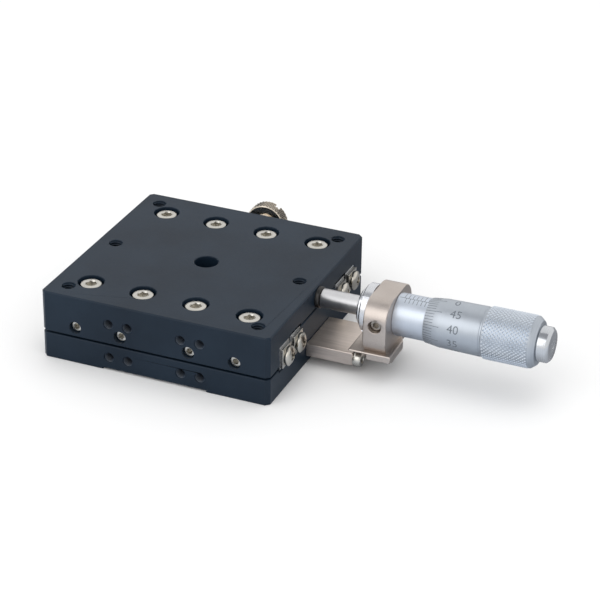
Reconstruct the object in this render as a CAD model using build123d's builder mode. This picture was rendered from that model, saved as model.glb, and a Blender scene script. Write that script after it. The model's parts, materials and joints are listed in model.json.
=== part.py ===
"""Crossed-roller linear stage with a side-mounted micrometer and a rear clamp.

Units are millimetres. The origin is the centre of the base's underside, +X runs along the travel
towards the micrometer, +Y points to the clamp side and +Z is up.
"""
from build123d import *
from math import cos, pi, sin, sqrt
import os

os.makedirs("parts", exist_ok=True)

# ---------------------------------------------------------------- Stage body
stage_length = 60.0        # along the travel
stage_width = 60.0
stage_height = 18.0
travel = 6.5               # each way from the middle
table_web = 5.5            # thickness of the table above the rails
leg_gap = 0.5              # open line between the table's legs and the base
shoulder_step = 0.3        # seats of the rails to the base's top under the table's legs
corner_break = 1.0         # chamfer on the upright corners
edge_break = 0.3           # chamfer round the top face
running_gap = 0.5          # vertical gap between sliding faces inside
relief_width = 27.5        # shallow relief across the underside
relief_depth = 0.45
corner_zone = 1.5          # how near the side an upright edge is to count as a corner

# ---------------------------------------------------------------- Crossed roller guides
rail_height = 6.0
rail_back = 6.0            # roller line to the back of each rail
rail_inset = 12.5          # roller line to the side of the stage
rail_hole = 3.5            # roller line to the rail's screw line
rail_gap = 0.8             # between the faces of a pair of rails
roller_diameter = 2.0
roller_length = 1.8
roller_clearance = 0.03    # between a roller and its groove
groove_relief = 0.5        # width of the slot at the bottom of the groove
rollers_per_cage = 9
roller_pitch = 4.4
cage_thickness = 0.4
cage_height = 4.6
cage_margin = 1.6          # cage beyond the last roller
window_clearance = 0.15
preload_gap = 0.1          # between an outer rail and its leg, taken up by the screws
end_thread = 4.6           # depth of the tapped hole in each end of a rail
side_gap = 0.5             # between a rail's face and what slides past it

# ---------------------------------------------------------------- Fasteners
thread_gap = 0.05          # between a screw and its hole, on the radius
m3_radius = 1.5
m3_head_radius = 2.75
m3_head_height = 3.0
m3_socket = 2.5            # across flats
m3_socket_depth = 1.5
m3_clearance_radius = 1.7
m3_bore_radius = 3.25      # counterbore
m3_bore_depth = 3.4
rail_screw_length = 6.0
rail_screw_x = (-21.0, -7.0, 7.0, 21.0)
m2_radius = 1.0
m2_head_radius = 1.9
m2_head_height = 2.0
m2_socket = 1.5
m2_socket_depth = 1.0
end_clearance = 0.3        # beyond the end of a screw or pin in a blind hole
set_socket_share = 0.35    # depth of a set screw's socket, of its length
pan_radius = 1.25          # M2.5 shank
pan_head_radius = 2.5
pan_head_height = 1.6
pan_shank = 5.0
end_plate_size = 5.0
end_plate_thickness = 0.8
preload_x = (-21.0, -9.0, 9.0, 21.0)
preload_rise = 0.1         # middle of the rails to the set screws
preload_length = 5.4
preload_socket = 1.5

# ---------------------------------------------------------------- Holes for the user
tap_m4_radius = 1.65
tap_m3_radius = 1.25
bolt_inset = 5.0           # from the sides of the stage to the corner holes
top_hole_depth = 5.4
middle_hole_depth = 4.5
bottom_hole_depth = 5.0
centre_radius = 3.0
side_hole_x = (-12.0, -7.0, 7.0, 12.0)
clamp_hole_x = (-7.0, 7.0)
side_hole_depth = 5.0
table_side_drop = 5.5      # top of the table to its side holes
base_side_z = 3.5

# ---------------------------------------------------------------- Return springs
spring_y = 5.0
spring_radius = 1.5        # mean radius of the coil
spring_wire = 0.5
spring_turns = 9
spring_facets = 8          # straight runs in each turn
spring_rise = 0.5          # middle of the rails to the coil's axis
spring_anchor = 19.0       # centre of the stage to each spring pin
pin_radius = 1.0
pin_seat = 3.0             # depth of a pin in its plate
pin_clearance = 0.4        # from a pin's free end to the plate opposite
channel_width = 4.6
channel_depth = 2.2        # coil's axis to the floor of its channel
channel_end_gap = 1.0

# ---------------------------------------------------------------- Micrometer
screw_axis_drop = 3.25     # top of the table to the screw's axis
spindle_radius = 2.4
spindle_gap = 0.04         # running clearance on the radius
spindle_chamfer = 0.3
spindle_seat_radius = 1.8  # rear end of the spindle in the thimble
button_height = 1.1        # contact button beyond the end of the table
button_radius = 2.75
button_chamfer = 0.2
button_shank_radius = 1.5
button_wall = 0.45         # between the shank's bore and the table's middle hole
button_shank = bolt_inset - tap_m4_radius - end_clearance - button_wall
stem_radius = 4.75
stem_gap = 0.02
stem_chamfer = 0.5
stem_nose = 1.1            # stem in front of its nut
nut_thickness = 2.4
nut_radius = 6.15
nut_chamfer = 0.4
notch_width = 1.6
notch_depth = 1.3
sleeve_radius = 5.25
sleeve_length = 20.5
sleeve_shown = 7.9         # sleeve between the holder and the thimble in mid travel
inner_sleeve_radius = 4.3
inner_sleeve_extra = 2.5   # inner sleeve beyond the graduated sleeve
adjuster_radius = 5.0
adjuster_length = 2.0
thimble_front_radius = 5.9
thimble_bevel = 3.4        # length of the graduated taper
thimble_bevel_drop = 0.45
thimble_rear_radius = 6.1
thimble_bore_radius = 5.4
thimble_plain = 14.5       # front of the thimble to its knurl
knurl_length = 11.6
knurl_radius = 6.5
knurl_neck = 0.5
thimble_cone = 1.4         # length of the coned end
thimble_end_radius = 5.4
thimble_floor_depth = 4.8  # solid end of the thimble
cap_radius = 4.35
cap_length = 3.1
cap_chamfer = 0.8

# ---------------------------------------------------------------- Micrometer bracket
arm_width = 15.2
arm_thickness = 3.4
arm_drop = 9.15            # screw's axis to the top of the arm
arm_length = 12.2
tongue_width = 7.8
tongue_step = 0.8          # underside of the arm to that of its tongue
holder_reach = 15.0        # end of the stage to the holder's block
holder_thickness = 5.9
holder_width = 18.0
holder_rise = 5.75         # screw's axis to the top of the block
holder_corner = 5.5
foot_front = 3.5           # foot plate in front of the block
foot_lip = 1.3             # and behind it
foot_height = 1.9
foot_cut_y = 0.1           # the lip's cut-away corner starts here
foot_cut_width = 3.0
relief_height = 1.3        # under the foot, over the heads of the arm screws
relief_inner = 3.6         # middle of the foot to each relief
relief_gap = 1.8           # from the heads to the end of the relief
arm_screw_y = 6.1
arm_screw_rise = 1.4       # underside of the arm to its screws
arm_screw_grip = 4.5       # thread in the base
holder_screw_length = 6.0
holder_head_radius = 1.9
holder_head_depth = 0.9
lock_screw_length = 3.0
lock_mouth = 0.25          # chamfer of the lock screw's hole

# ---------------------------------------------------------------- Rear clamp
clamp_block_width = 20.0
clamp_block_thickness = 4.6
clamp_block_bottom = 0.6
clamp_block_drop = 3.2     # top of the table to the top of the block
clamp_block_corner = 3.0
clamp_block_thread = 4.0   # clamp block screws in the base
clamp_slot = 0.5           # block to table
clamp_drop = 6.0           # top of the table to the clamp screw
clamp_screw_radius = 2.0
clamp_pad_radius = 1.4
clamp_pad_gap = 0.4        # pad to table when loose
clamp_pad_length = 1.6
clamp_screw_gap = 0.06     # screw in its threaded hole
knob_standoff = 1.1        # block to knob
knob_width = 3.4
knob_radius = 5.4
knob_chamfer = 0.4
knob_slot = 1.3
knob_slot_depth = 1.3
knob_slot_angle = -30.0
knob_hub_radius = 3.0
knob_hub_gap = 0.6

# ---------------------------------------------------------------- Places that follow from these
half_length = stage_length / 2
half_width = stage_width / 2
rail_line = half_width - rail_inset
web_underside = stage_height - table_web
rail_floor = web_underside - rail_height
rail_middle = rail_floor + rail_height / 2
shoulder_height = rail_floor + shoulder_step
leg_bottom = shoulder_height + leg_gap
table_side_z = stage_height - table_side_drop
preload_z = rail_middle + preload_rise
spring_z = rail_middle + spring_rise
channel_floor = spring_z - channel_depth
screw_axis_z = stage_height - screw_axis_drop
holder_top = screw_axis_z + holder_rise
arm_top = screw_axis_z - arm_drop
arm_bottom = arm_top - arm_thickness
tongue_bottom = arm_bottom + tongue_step
arm_screw_z = arm_bottom + arm_screw_rise
clamp_z = stage_height - clamp_drop
clamp_block_top = stage_height - clamp_block_drop
outer_back = rail_line + rail_back
inner_back = rail_line - rail_back
outer_face = rail_line + rail_gap / 2
inner_face = rail_line - rail_gap / 2
outer_hole_y = rail_line + rail_hole
inner_hole_y = rail_line - rail_hole
leg_inside = outer_back + preload_gap
rib_top = web_underside - running_gap
groove_reach = sqrt(2) * (roller_diameter / 2 + roller_clearance)
head_seat = stage_height - m3_bore_depth
spindle_tip = half_length + button_height
arm_end = half_length + arm_length
holder_start = half_length + holder_reach
holder_end = holder_start + holder_thickness
holder_middle = (holder_start + holder_end) / 2
foot_start = holder_start - foot_front
foot_end = holder_end + foot_lip
nut_start = holder_start - nut_thickness
stem_start = nut_start - stem_nose
sleeve_end = holder_end + sleeve_length
inner_sleeve_end = sleeve_end + inner_sleeve_extra
thimble_start = holder_end + sleeve_shown
knurl_start = thimble_start + thimble_plain
knurl_end = knurl_start + knurl_length
thimble_end = knurl_end + thimble_cone
thimble_floor = thimble_end - thimble_floor_depth
cap_end = thimble_end + cap_length
block_back = half_width + clamp_slot + clamp_block_thickness
knob_start = block_back + knob_standoff
knob_end = knob_start + knob_width
pad_front = half_width + clamp_pad_gap


def write(piece, name):
    """Label a finished piece and export it under the same name."""
    piece.part.label = name
    export_step(piece.part, f"parts/{name}.step")


def across(x):
    """A plane that faces +X at a distance along the travel, with Y and Z as its own x and y."""
    return Plane.YZ.offset(x)


def drill(plane, spots, radius, depth):
    """Cut a flat-ended hole at each spot of a plane, against the plane's normal."""
    with BuildSketch(plane) as holes:
        with Locations(*spots):
            Circle(radius)
    extrude(holes.sketch, amount=-depth, mode=Mode.SUBTRACT)


def turn(x_radius_pairs, height):
    """Turn a closed profile, given as (x, radius) points, about an axis along X at a height."""
    with BuildSketch(Plane.XZ) as profile:
        with BuildLine():
            Polyline(*[(x, height + radius) for x, radius in x_radius_pairs], close=True)
        make_face()
    revolve(profile.sketch, axis=Axis((0, 0, height), (1, 0, 0)))


def cap_screw(radius, head_radius, head_height, socket, socket_depth, length):
    """A socket-head cap screw along Z with the seat of its head at the origin."""
    with BuildPart() as screw:
        with BuildSketch():
            Circle(head_radius)
        extrude(amount=head_height)
        with BuildSketch(Plane.XY.offset(head_height)):
            RegularPolygon(socket / 2, 6, major_radius=False)
        extrude(amount=-socket_depth, mode=Mode.SUBTRACT)
        with BuildSketch():
            Circle(radius)
        extrude(amount=-length)
    return screw.part


def set_screw(radius, socket, length):
    """A socket set screw along Z with its socket end at the origin and its point below."""
    with BuildPart() as screw:
        with BuildSketch():
            Circle(radius)
        extrude(amount=-length)
        with BuildSketch():
            RegularPolygon(socket / 2, 6, major_radius=False)
        extrude(amount=-set_socket_share * length, mode=Mode.SUBTRACT)
    return screw.part


def pan_screw():
    """A pan-head screw along Z with the seat of its head at the origin."""
    with BuildPart() as screw:
        with BuildSketch():
            Circle(pan_head_radius)
        extrude(amount=pan_head_height)
        with BuildSketch():
            Circle(pan_radius)
        extrude(amount=-pan_shank)
    return screw.part


def group(single, places):
    """Copies of one fastener, as separate solids, at each of the given places."""
    with BuildPart() as several:
        with Locations(*places):
            add(single)
    return several


def face_on(origin, outward):
    """A place whose own Z points outward, for a fastener seated on that face."""
    return Plane(origin=origin, z_dir=outward).location


m3_screw = cap_screw(m3_radius, m3_head_radius, m3_head_height, m3_socket, m3_socket_depth,
                     rail_screw_length)

# ================================================================ Base
base_rail_spots = [(x, side * inner_hole_y) for side in (-1, 1) for x in rail_screw_x]

with BuildPart() as base_plate:
    # Plate with a raised middle rib, and a sunk strip each side where the table's rails pass.
    with BuildSketch(across(-half_length)):
        Rectangle(stage_width, shoulder_height, align=(Align.CENTER, Align.MIN))
        with Locations((0, rail_floor)):
            Rectangle(2 * (outer_back + side_gap), stage_height, align=(Align.CENTER, Align.MIN),
                      mode=Mode.SUBTRACT)
        with Locations((0, rail_floor)):
            Rectangle(2 * inner_back, rib_top - rail_floor, align=(Align.CENTER, Align.MIN))
        for side in (-1, 1):
            strip_middle = side * (outer_back + side_gap + outer_face - side_gap) / 2
            with Locations((strip_middle, rail_floor - running_gap)):
                Rectangle(outer_back - outer_face + 2 * side_gap, stage_height,
                          align=(Align.CENTER, Align.MIN), mode=Mode.SUBTRACT)
    extrude(amount=stage_length)
    corners = base_plate.edges().filter_by(Axis.Z)
    corners = corners.filter_by(lambda edge: abs(edge.center().Y) > half_width - corner_zone)
    chamfer(corners, corner_break)
    # Shallow relief, so the plate stands on two lands.
    with BuildSketch():
        Rectangle(relief_width, stage_width)
    extrude(amount=relief_depth, mode=Mode.SUBTRACT)
    # Channels for the two return springs, open upwards and closed at both ends.
    channel_start = -(spring_anchor + pin_radius + travel + channel_end_gap)
    channel_stop = spring_anchor + pin_radius + channel_end_gap
    with BuildSketch(Plane.XY.offset(rib_top)):
        with Locations(*[((channel_start + channel_stop) / 2, side * spring_y) for side in (-1, 1)]):
            SlotOverall(channel_stop - channel_start, channel_width)
    extrude(amount=channel_floor - rib_top, mode=Mode.SUBTRACT)
    # Fixed spring pins stand in the floor of the channels.
    drill(Plane.XY.offset(channel_floor), [(spring_anchor, spring_y), (spring_anchor, -spring_y)],
          pin_radius + thread_gap, pin_seat)
    # Counterbored screws from below hold the inner rails.
    underside = Plane(origin=(0, 0, 0), x_dir=(1, 0, 0), z_dir=(0, 0, -1))
    drill(underside, base_rail_spots, m3_bore_radius, m3_bore_depth)
    drill(underside, base_rail_spots, m3_clearance_radius, shoulder_height)
    # Tapped holes: four to bolt the stage down, a row on the front, two for the clamp block on the
    # rear and two for the arm.
    corner_spots = [(x, y) for x in (bolt_inset - half_length, half_length - bolt_inset)
                    for y in (bolt_inset - half_width, half_width - bolt_inset)]
    drill(underside, corner_spots, tap_m4_radius, bottom_hole_depth)
    front_face = Plane.XZ.offset(half_width)
    drill(front_face, [(x, base_side_z) for x in side_hole_x], tap_m3_radius, side_hole_depth)
    rear_face = Plane(origin=(0, half_width, 0), x_dir=(1, 0, 0), z_dir=(0, 1, 0))
    drill(rear_face, [(x, -base_side_z) for x in clamp_hole_x], m3_radius + thread_gap,
          clamp_block_thread + end_clearance)
    drill(across(half_length), [(side * arm_screw_y, arm_screw_z) for side in (-1, 1)],
          m2_radius + thread_gap, arm_screw_grip + end_clearance)
write(base_plate, "base_plate")


def guide_rail(side, direction):
    """A V-groove rail. Side is the roller line's sign, direction is +1 for the table's rail."""
    outward = side * direction

    def at(distance, height):
        return (side * rail_line + outward * distance, height)

    mouth = groove_reach - rail_gap / 2
    slot = groove_relief / 2
    bottom = groove_reach + slot
    with BuildPart() as rail:
        with BuildSketch(across(-half_length)):
            with BuildLine():
                Polyline(
                    at(rail_gap / 2, rail_floor),
                    at(rail_gap / 2, rail_middle - mouth),
                    at(groove_reach - slot, rail_middle - slot),
                    at(bottom, rail_middle - slot),
                    at(bottom, rail_middle + slot),
                    at(groove_reach - slot, rail_middle + slot),
                    at(rail_gap / 2, rail_middle + mouth),
                    at(rail_gap / 2, rail_floor + rail_height),
                    at(rail_back, rail_floor + rail_height),
                    at(rail_back, rail_floor),
                    close=True,
                )
            make_face()
        extrude(amount=stage_length)
        hole_y = side * rail_line + outward * rail_hole
        drill(Plane.XY.offset(rail_floor + rail_height), [(x, hole_y) for x in rail_screw_x],
              m3_radius + thread_gap, rail_height)
        for end in (-1, 1):
            end_face = Plane(origin=(end * half_length, hole_y, rail_middle), z_dir=(end, 0, 0))
            drill(end_face, [(0, 0)], pan_radius + thread_gap, end_thread)
    return rail


for side, place in ((-1, "front"), (1, "rear")):
    write(guide_rail(side, -1), f"inner_rail_{place}")
    write(guide_rail(side, 1), f"outer_rail_{place}")

below = [face_on((x, y, m3_bore_depth), (0, 0, -1)) for x, y in base_rail_spots]
write(group(m3_screw, below), "inner_rail_screws")


def end_pieces(hole_y):
    """Retaining plates and their screws at both ends of a pair of rails."""
    with BuildPart() as plates:
        for end in (-1, 1):
            for side in (-1, 1):
                at_end = Plane(origin=(end * half_length, side * hole_y, rail_middle),
                               x_dir=(0, 1, 0), z_dir=(end, 0, 0))
                with BuildSketch(at_end):
                    Rectangle(end_plate_size, end_plate_size)
                    Circle(pan_radius + thread_gap, mode=Mode.SUBTRACT)
                extrude(amount=end_plate_thickness)
    seat = half_length + end_plate_thickness
    screws = [face_on((end * seat, side * hole_y, rail_middle), (end, 0, 0))
              for end in (-1, 1) for side in (-1, 1)]
    return plates, group(pan_screw(), screws)


inner_plates, inner_plate_screws = end_pieces(inner_hole_y)
write(inner_plates, "inner_end_plates")
write(inner_plate_screws, "inner_end_screws")

# ================================================================ Table
table_rail_spots = [(x, side * outer_hole_y) for side in (-1, 1) for x in rail_screw_x]

with BuildPart() as table_plate:
    # Web with a leg down each side, and shallow channels that clear the base's rails.
    with BuildSketch(across(-half_length)):
        with Locations((0, leg_bottom)):
            Rectangle(stage_width, stage_height - leg_bottom, align=(Align.CENTER, Align.MIN))
        with Locations((0, leg_bottom)):
            Rectangle(2 * leg_inside, web_underside - leg_bottom, align=(Align.CENTER, Align.MIN),
                      mode=Mode.SUBTRACT)
        for side in (-1, 1):
            with Locations((side * (inner_face + inner_back) / 2, web_underside)):
                Rectangle(inner_face - inner_back + 2 * side_gap, running_gap,
                          align=(Align.CENTER, Align.MIN), mode=Mode.SUBTRACT)
    extrude(amount=stage_length)
    corners = table_plate.edges().filter_by(Axis.Z)
    corners = corners.filter_by(lambda edge: abs(edge.center().Y) > half_width - corner_zone)
    chamfer(corners, corner_break)
    chamfer(table_plate.faces().sort_by(Axis.Z)[-1].edges(), edge_break)
    top = Plane.XY.offset(stage_height)
    drill(top, table_rail_spots, m3_bore_radius, m3_bore_depth)
    drill(top, table_rail_spots, m3_clearance_radius, table_web)
    drill(top, corner_spots, tap_m4_radius, top_hole_depth)
    drill(top, [(bolt_inset - half_length, 0), (half_length - bolt_inset, 0)], tap_m4_radius,
          middle_hole_depth)
    drill(top, [(0, 0)], centre_radius, table_web)
    # Tapped row on the front, and the holes of the preload screws through the front leg.
    drill(front_face, [(x, table_side_z) for x in side_hole_x], tap_m3_radius, side_hole_depth)
    drill(front_face, [(x, preload_z) for x in preload_x], m3_radius + thread_gap,
          half_width - leg_inside)
    # Seats of the contact button and of the moving spring pins.
    drill(across(half_length), [(0, screw_axis_z)], button_shank_radius + thread_gap,
          button_shank + end_clearance)
    web_face = Plane(origin=(0, 0, web_underside), x_dir=(1, 0, 0), z_dir=(0, 0, -1))
    drill(web_face, [(-spring_anchor, spring_y), (-spring_anchor, -spring_y)],
          pin_radius + thread_gap, pin_seat)
write(table_plate, "table_plate")

above = [face_on((x, y, head_seat), (0, 0, 1)) for x, y in table_rail_spots]
write(group(m3_screw, above), "outer_rail_screws")

outer_plates, outer_plate_screws = end_pieces(outer_hole_y)
write(outer_plates, "outer_end_plates")
write(outer_plate_screws, "outer_end_screws")

preload_head = -(outer_back + preload_length)
preload_places = [face_on((x, preload_head, preload_z), (0, -1, 0)) for x in preload_x]
write(group(set_screw(m3_radius, preload_socket, preload_length), preload_places), "preload_screws")

with BuildPart() as contact_button:
    # Hardened button that the spindle pushes, with a shank pressed into the table.
    with BuildSketch(across(half_length)):
        with Locations((0, screw_axis_z)):
            Circle(button_radius)
    extrude(amount=spindle_tip - half_length)
    chamfer(contact_button.faces().sort_by(Axis.X)[-1].edges(), button_chamfer)
    with BuildSketch(across(half_length)):
        with Locations((0, screw_axis_z)):
            Circle(button_shank_radius)
    extrude(amount=-button_shank)
write(contact_button, "contact_button")

# ================================================================ Springs and their pins
for body, x, low, high in (
    ("base", spring_anchor, channel_floor - pin_seat, web_underside - pin_clearance),
    ("table", -spring_anchor, channel_floor + pin_clearance, web_underside + pin_seat),
):
    with BuildPart() as spring_pins:
        with BuildSketch(Plane.XY.offset(low)):
            with Locations((x, spring_y), (x, -spring_y)):
                Circle(pin_radius)
        extrude(amount=high - low)
    write(spring_pins, f"{body}_spring_pins")

hook_radius = pin_radius + spring_wire / 2 + thread_gap
coil_half = spring_anchor - hook_radius - spring_radius


def return_spring(y):
    """An open coil along X of straight runs, which ends in a flat loop round each pin."""
    runs = spring_turns * spring_facets
    bends = [
        (
            coil_half * (2 * i / runs - 1),
            y - spring_radius * sin(2 * pi * i / spring_facets),
            spring_z - spring_radius * cos(2 * pi * i / spring_facets),
        )
        for i in range(runs + 1)
    ]
    with BuildPart() as spring:
        with BuildLine() as coil:
            Polyline(*bends)
        with BuildSketch(Plane(origin=bends[0], z_dir=coil.wire() % 0)):
            Rectangle(spring_wire, spring_wire)
        sweep(path=coil.wire(), transition=Transition.RIGHT)
        for end in (-1, 1):
            with BuildSketch(Plane.XY.offset(spring_z - spring_wire / 2)):
                with Locations((end * spring_anchor, y)):
                    Circle(hook_radius + spring_wire / 2)
                    Circle(hook_radius - spring_wire / 2, mode=Mode.SUBTRACT)
            extrude(amount=spring_wire)
            # The wire runs from the coil's foot up to its axis, and along the axis to the loop.
            with BuildSketch(Plane.XZ.offset(-y - spring_wire / 2)):
                with BuildLine():
                    Polyline(
                        (end * (coil_half + spring_wire / 2), spring_z - spring_radius),
                        (end * (coil_half + spring_wire / 2), spring_z + spring_wire / 2),
                        (end * (spring_anchor - hook_radius), spring_z + spring_wire / 2),
                        (end * (spring_anchor - hook_radius), spring_z - spring_wire / 2),
                        (end * (coil_half + 3 * spring_wire / 2), spring_z - spring_wire / 2),
                        (end * (coil_half + 3 * spring_wire / 2), spring_z - spring_radius),
                        close=True,
                    )
                make_face()
            extrude(amount=spring_wire)
    return spring


write(return_spring(-spring_y), "return_spring_front")
write(return_spring(spring_y), "return_spring_rear")

# ================================================================ Roller cages
cage_length = (rollers_per_cage - 1) * roller_pitch + roller_diameter + 2 * cage_margin
roller_x = [(i - (rollers_per_cage - 1) / 2) * roller_pitch for i in range(rollers_per_cage)]

for side, place in ((-1, "front"), (1, "rear")):
    middle = (0, side * rail_line, rail_middle)
    window = roller_diameter + 2 * window_clearance
    window_height = (roller_diameter + roller_length) / sqrt(2) + 2 * window_clearance
    with BuildPart() as cage:
        # Thin strip with a window for each roller.
        with BuildSketch(Plane(origin=middle, x_dir=(1, 0, 0), z_dir=(0, -1, 0))):
            Rectangle(cage_length, cage_height)
            with Locations(*[(x, 0) for x in roller_x]):
                Rectangle(window, window_height, mode=Mode.SUBTRACT)
        extrude(amount=cage_thickness / 2, both=True)
    write(cage, f"cage_{place}")

    with BuildPart() as rollers:
        # Neighbouring rollers lean opposite ways by 45 degrees.
        for i, x in enumerate(roller_x):
            lean = 1 if i % 2 == 0 else -1
            leaning = Plane(origin=(x, side * rail_line, rail_middle), x_dir=(1, 0, 0),
                            z_dir=(0, lean, 1))
            with BuildSketch(leaning):
                Circle(roller_diameter / 2)
            extrude(amount=roller_length / 2, both=True)
    write(rollers, f"rollers_{place}")

# ================================================================ Micrometer bracket
with BuildPart() as bracket_arm:
    # Broad arm on the base's end, narrowing to a tongue under the holder.
    with BuildSketch(Plane.XY.offset(arm_bottom)):
        with Locations((half_length, 0)):
            Rectangle(arm_end - half_length, arm_width, align=(Align.MIN, Align.CENTER))
    extrude(amount=arm_thickness)
    with BuildSketch(Plane.XY.offset(tongue_bottom)):
        with Locations((arm_end, 0)):
            Rectangle(holder_end - arm_end, tongue_width, align=(Align.MIN, Align.CENTER))
    extrude(amount=arm_top - tongue_bottom)
    drill(across(arm_end), [(side * arm_screw_y, arm_screw_z) for side in (-1, 1)],
          m2_radius + thread_gap, arm_end - half_length)
    holder_screw_y = tongue_width / 4
    tongue_face = Plane(origin=(0, 0, tongue_bottom), x_dir=(1, 0, 0), z_dir=(0, 0, -1))
    holder_screw_spots = [(holder_middle, side * holder_screw_y) for side in (-1, 1)]
    drill(tongue_face, holder_screw_spots, m2_radius + thread_gap, arm_top - tongue_bottom)
    with BuildSketch(tongue_face):
        with Locations(*holder_screw_spots):
            Circle(holder_head_radius + thread_gap)
    extrude(amount=-holder_head_depth, taper=45, mode=Mode.SUBTRACT)
write(bracket_arm, "bracket_arm")

arm_screw_length = arm_end - half_length + arm_screw_grip
arm_screw = cap_screw(m2_radius, m2_head_radius, m2_head_height, m2_socket, m2_socket_depth,
                      arm_screw_length)
arm_places = [face_on((arm_end, side * arm_screw_y, arm_screw_z), (1, 0, 0)) for side in (-1, 1)]
write(group(arm_screw, arm_places), "arm_screws")

with BuildPart() as holder_screw:
    with BuildSketch(Plane.XZ):
        with BuildLine():
            Polyline((0, 0), (holder_head_radius, 0), (m2_radius, -holder_head_depth),
                     (m2_radius, -holder_screw_length), (0, -holder_screw_length), close=True)
        make_face()
    revolve(axis=Axis.Z)
holder_places = [face_on((x, y, tongue_bottom), (0, 0, -1)) for x, y in holder_screw_spots]
write(group(holder_screw.part, holder_places), "holder_screws")

with BuildPart() as micrometer_holder:
    # Foot plate whose lip has one corner cut away, and the upright block with round shoulders.
    with BuildSketch(Plane.XY.offset(arm_top)):
        with BuildLine():
            Polyline(
                (foot_start, -holder_width / 2),
                (foot_end, -holder_width / 2),
                (foot_end, foot_cut_y),
                (holder_end, foot_cut_y + foot_cut_width),
                (holder_end, holder_width / 2),
                (foot_start, holder_width / 2),
                close=True,
            )
        make_face()
    extrude(amount=foot_height)
    with BuildSketch(Plane.XY.offset(arm_top)):
        for side in (-1, 1):
            with Locations((foot_start, side * relief_inner)):
                Rectangle(arm_end + m2_head_height + relief_gap - foot_start,
                          holder_width / 2 - relief_inner,
                          align=(Align.MIN, Align.MIN if side > 0 else Align.MAX))
    extrude(amount=relief_height, mode=Mode.SUBTRACT)
    with BuildSketch(across(holder_start)):
        with Locations((0, arm_top)):
            Rectangle(holder_width, holder_top - arm_top, align=(Align.CENTER, Align.MIN))
        upper = vertices().group_by(Axis.Z)[-1]
        fillet(upper, holder_corner)
    extrude(amount=holder_end - holder_start)
    drill(across(holder_end), [(0, screw_axis_z)], stem_radius + stem_gap,
          holder_end - holder_start)
    holder_side = Plane.XZ.offset(holder_width / 2)
    drill(holder_side, [(holder_middle, screw_axis_z)], m3_radius + thread_gap, holder_width / 2)
    with BuildSketch(holder_side):
        with Locations((holder_middle, screw_axis_z)):
            Circle(m3_radius + thread_gap + lock_mouth)
    extrude(amount=-lock_mouth, taper=45, mode=Mode.SUBTRACT)
    drill(Plane(origin=(0, 0, arm_top), x_dir=(1, 0, 0), z_dir=(0, 0, -1)), holder_screw_spots,
          m2_radius + thread_gap, tongue_bottom + holder_screw_length - arm_top + end_clearance)
write(micrometer_holder, "micrometer_holder")

lock_face = -(stem_radius + lock_screw_length + thread_gap)
lock_place = [face_on((holder_middle, lock_face, screw_axis_z), (0, -1, 0))]
write(group(set_screw(m3_radius, preload_socket, lock_screw_length), lock_place), "lock_screw")

# ================================================================ Micrometer head
bore = spindle_radius + spindle_gap
with BuildPart() as micrometer_stem:
    # Stem through the holder, a shoulder against it, and the inner sleeve with the nut thread.
    turn(
        [
            (stem_start, bore),
            (stem_start, stem_radius - stem_chamfer),
            (stem_start + stem_chamfer, stem_radius),
            (holder_end, stem_radius),
            (holder_end, inner_sleeve_radius),
            (inner_sleeve_end, inner_sleeve_radius),
            (inner_sleeve_end, bore),
        ],
        screw_axis_z,
    )
write(micrometer_stem, "micrometer_stem")

with BuildPart() as graduated_sleeve:
    turn(
        [
            (holder_end, inner_sleeve_radius),
            (holder_end, sleeve_radius),
            (sleeve_end, sleeve_radius),
            (sleeve_end, inner_sleeve_radius),
        ],
        screw_axis_z,
    )
write(graduated_sleeve, "graduated_sleeve")

with BuildPart() as adjusting_nut:
    # Tapered nut that closes the split end of the inner sleeve on the screw thread.
    turn(
        [
            (sleeve_end, inner_sleeve_radius),
            (sleeve_end, adjuster_radius),
            (sleeve_end + adjuster_length, adjuster_radius),
            (sleeve_end + adjuster_length, inner_sleeve_radius),
        ],
        screw_axis_z,
    )
write(adjusting_nut, "adjusting_nut")

with BuildPart() as stem_nut:
    # Round nut that clamps the stem's shoulder against the holder, with spanner notches.
    turn(
        [
            (nut_start, stem_radius + stem_gap),
            (nut_start, nut_radius - nut_chamfer),
            (nut_start + nut_chamfer, nut_radius),
            (holder_start, nut_radius),
            (holder_start, stem_radius + stem_gap),
        ],
        screw_axis_z,
    )
    with BuildSketch(across(nut_start)):
        with Locations((0, screw_axis_z)):
            with PolarLocations(nut_radius, 4, start_angle=45):
                Rectangle(2 * notch_depth, notch_width)
    extrude(amount=holder_start - nut_start, mode=Mode.SUBTRACT)
write(stem_nut, "stem_nut")

with BuildPart() as spindle:
    # Ground front part with a chamfered tip, and the rear end seated in the thimble.
    turn(
        [
            (spindle_tip, 0),
            (spindle_tip, spindle_radius - spindle_chamfer),
            (spindle_tip + spindle_chamfer, spindle_radius),
            (thimble_floor, spindle_radius),
            (thimble_floor, spindle_seat_radius),
            (thimble_end, spindle_seat_radius),
            (thimble_end, 0),
        ],
        screw_axis_z,
    )
write(spindle, "spindle")

with BuildPart() as thimble:
    # Cup over the sleeve: graduated bevel, plain body, neck, knurled grip and a coned end.
    turn(
        [
            (thimble_start, thimble_bore_radius),
            (thimble_start, thimble_front_radius - thimble_bevel_drop),
            (thimble_start + thimble_bevel, thimble_front_radius),
            (knurl_start - knurl_neck, thimble_rear_radius),
            (knurl_start, knurl_radius),
            (knurl_end, knurl_radius),
            (thimble_end, thimble_end_radius),
            (thimble_end, spindle_seat_radius),
            (thimble_floor, spindle_seat_radius),
            (thimble_floor, thimble_bore_radius),
        ],
        screw_axis_z,
    )
write(thimble, "thimble")

with BuildPart() as thimble_cap:
    turn(
        [
            (thimble_end, 0),
            (thimble_end, cap_radius),
            (cap_end - cap_chamfer, cap_radius),
            (cap_end, cap_radius - cap_chamfer),
            (cap_end, 0),
        ],
        screw_axis_z,
    )
write(thimble_cap, "thimble_cap")

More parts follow.
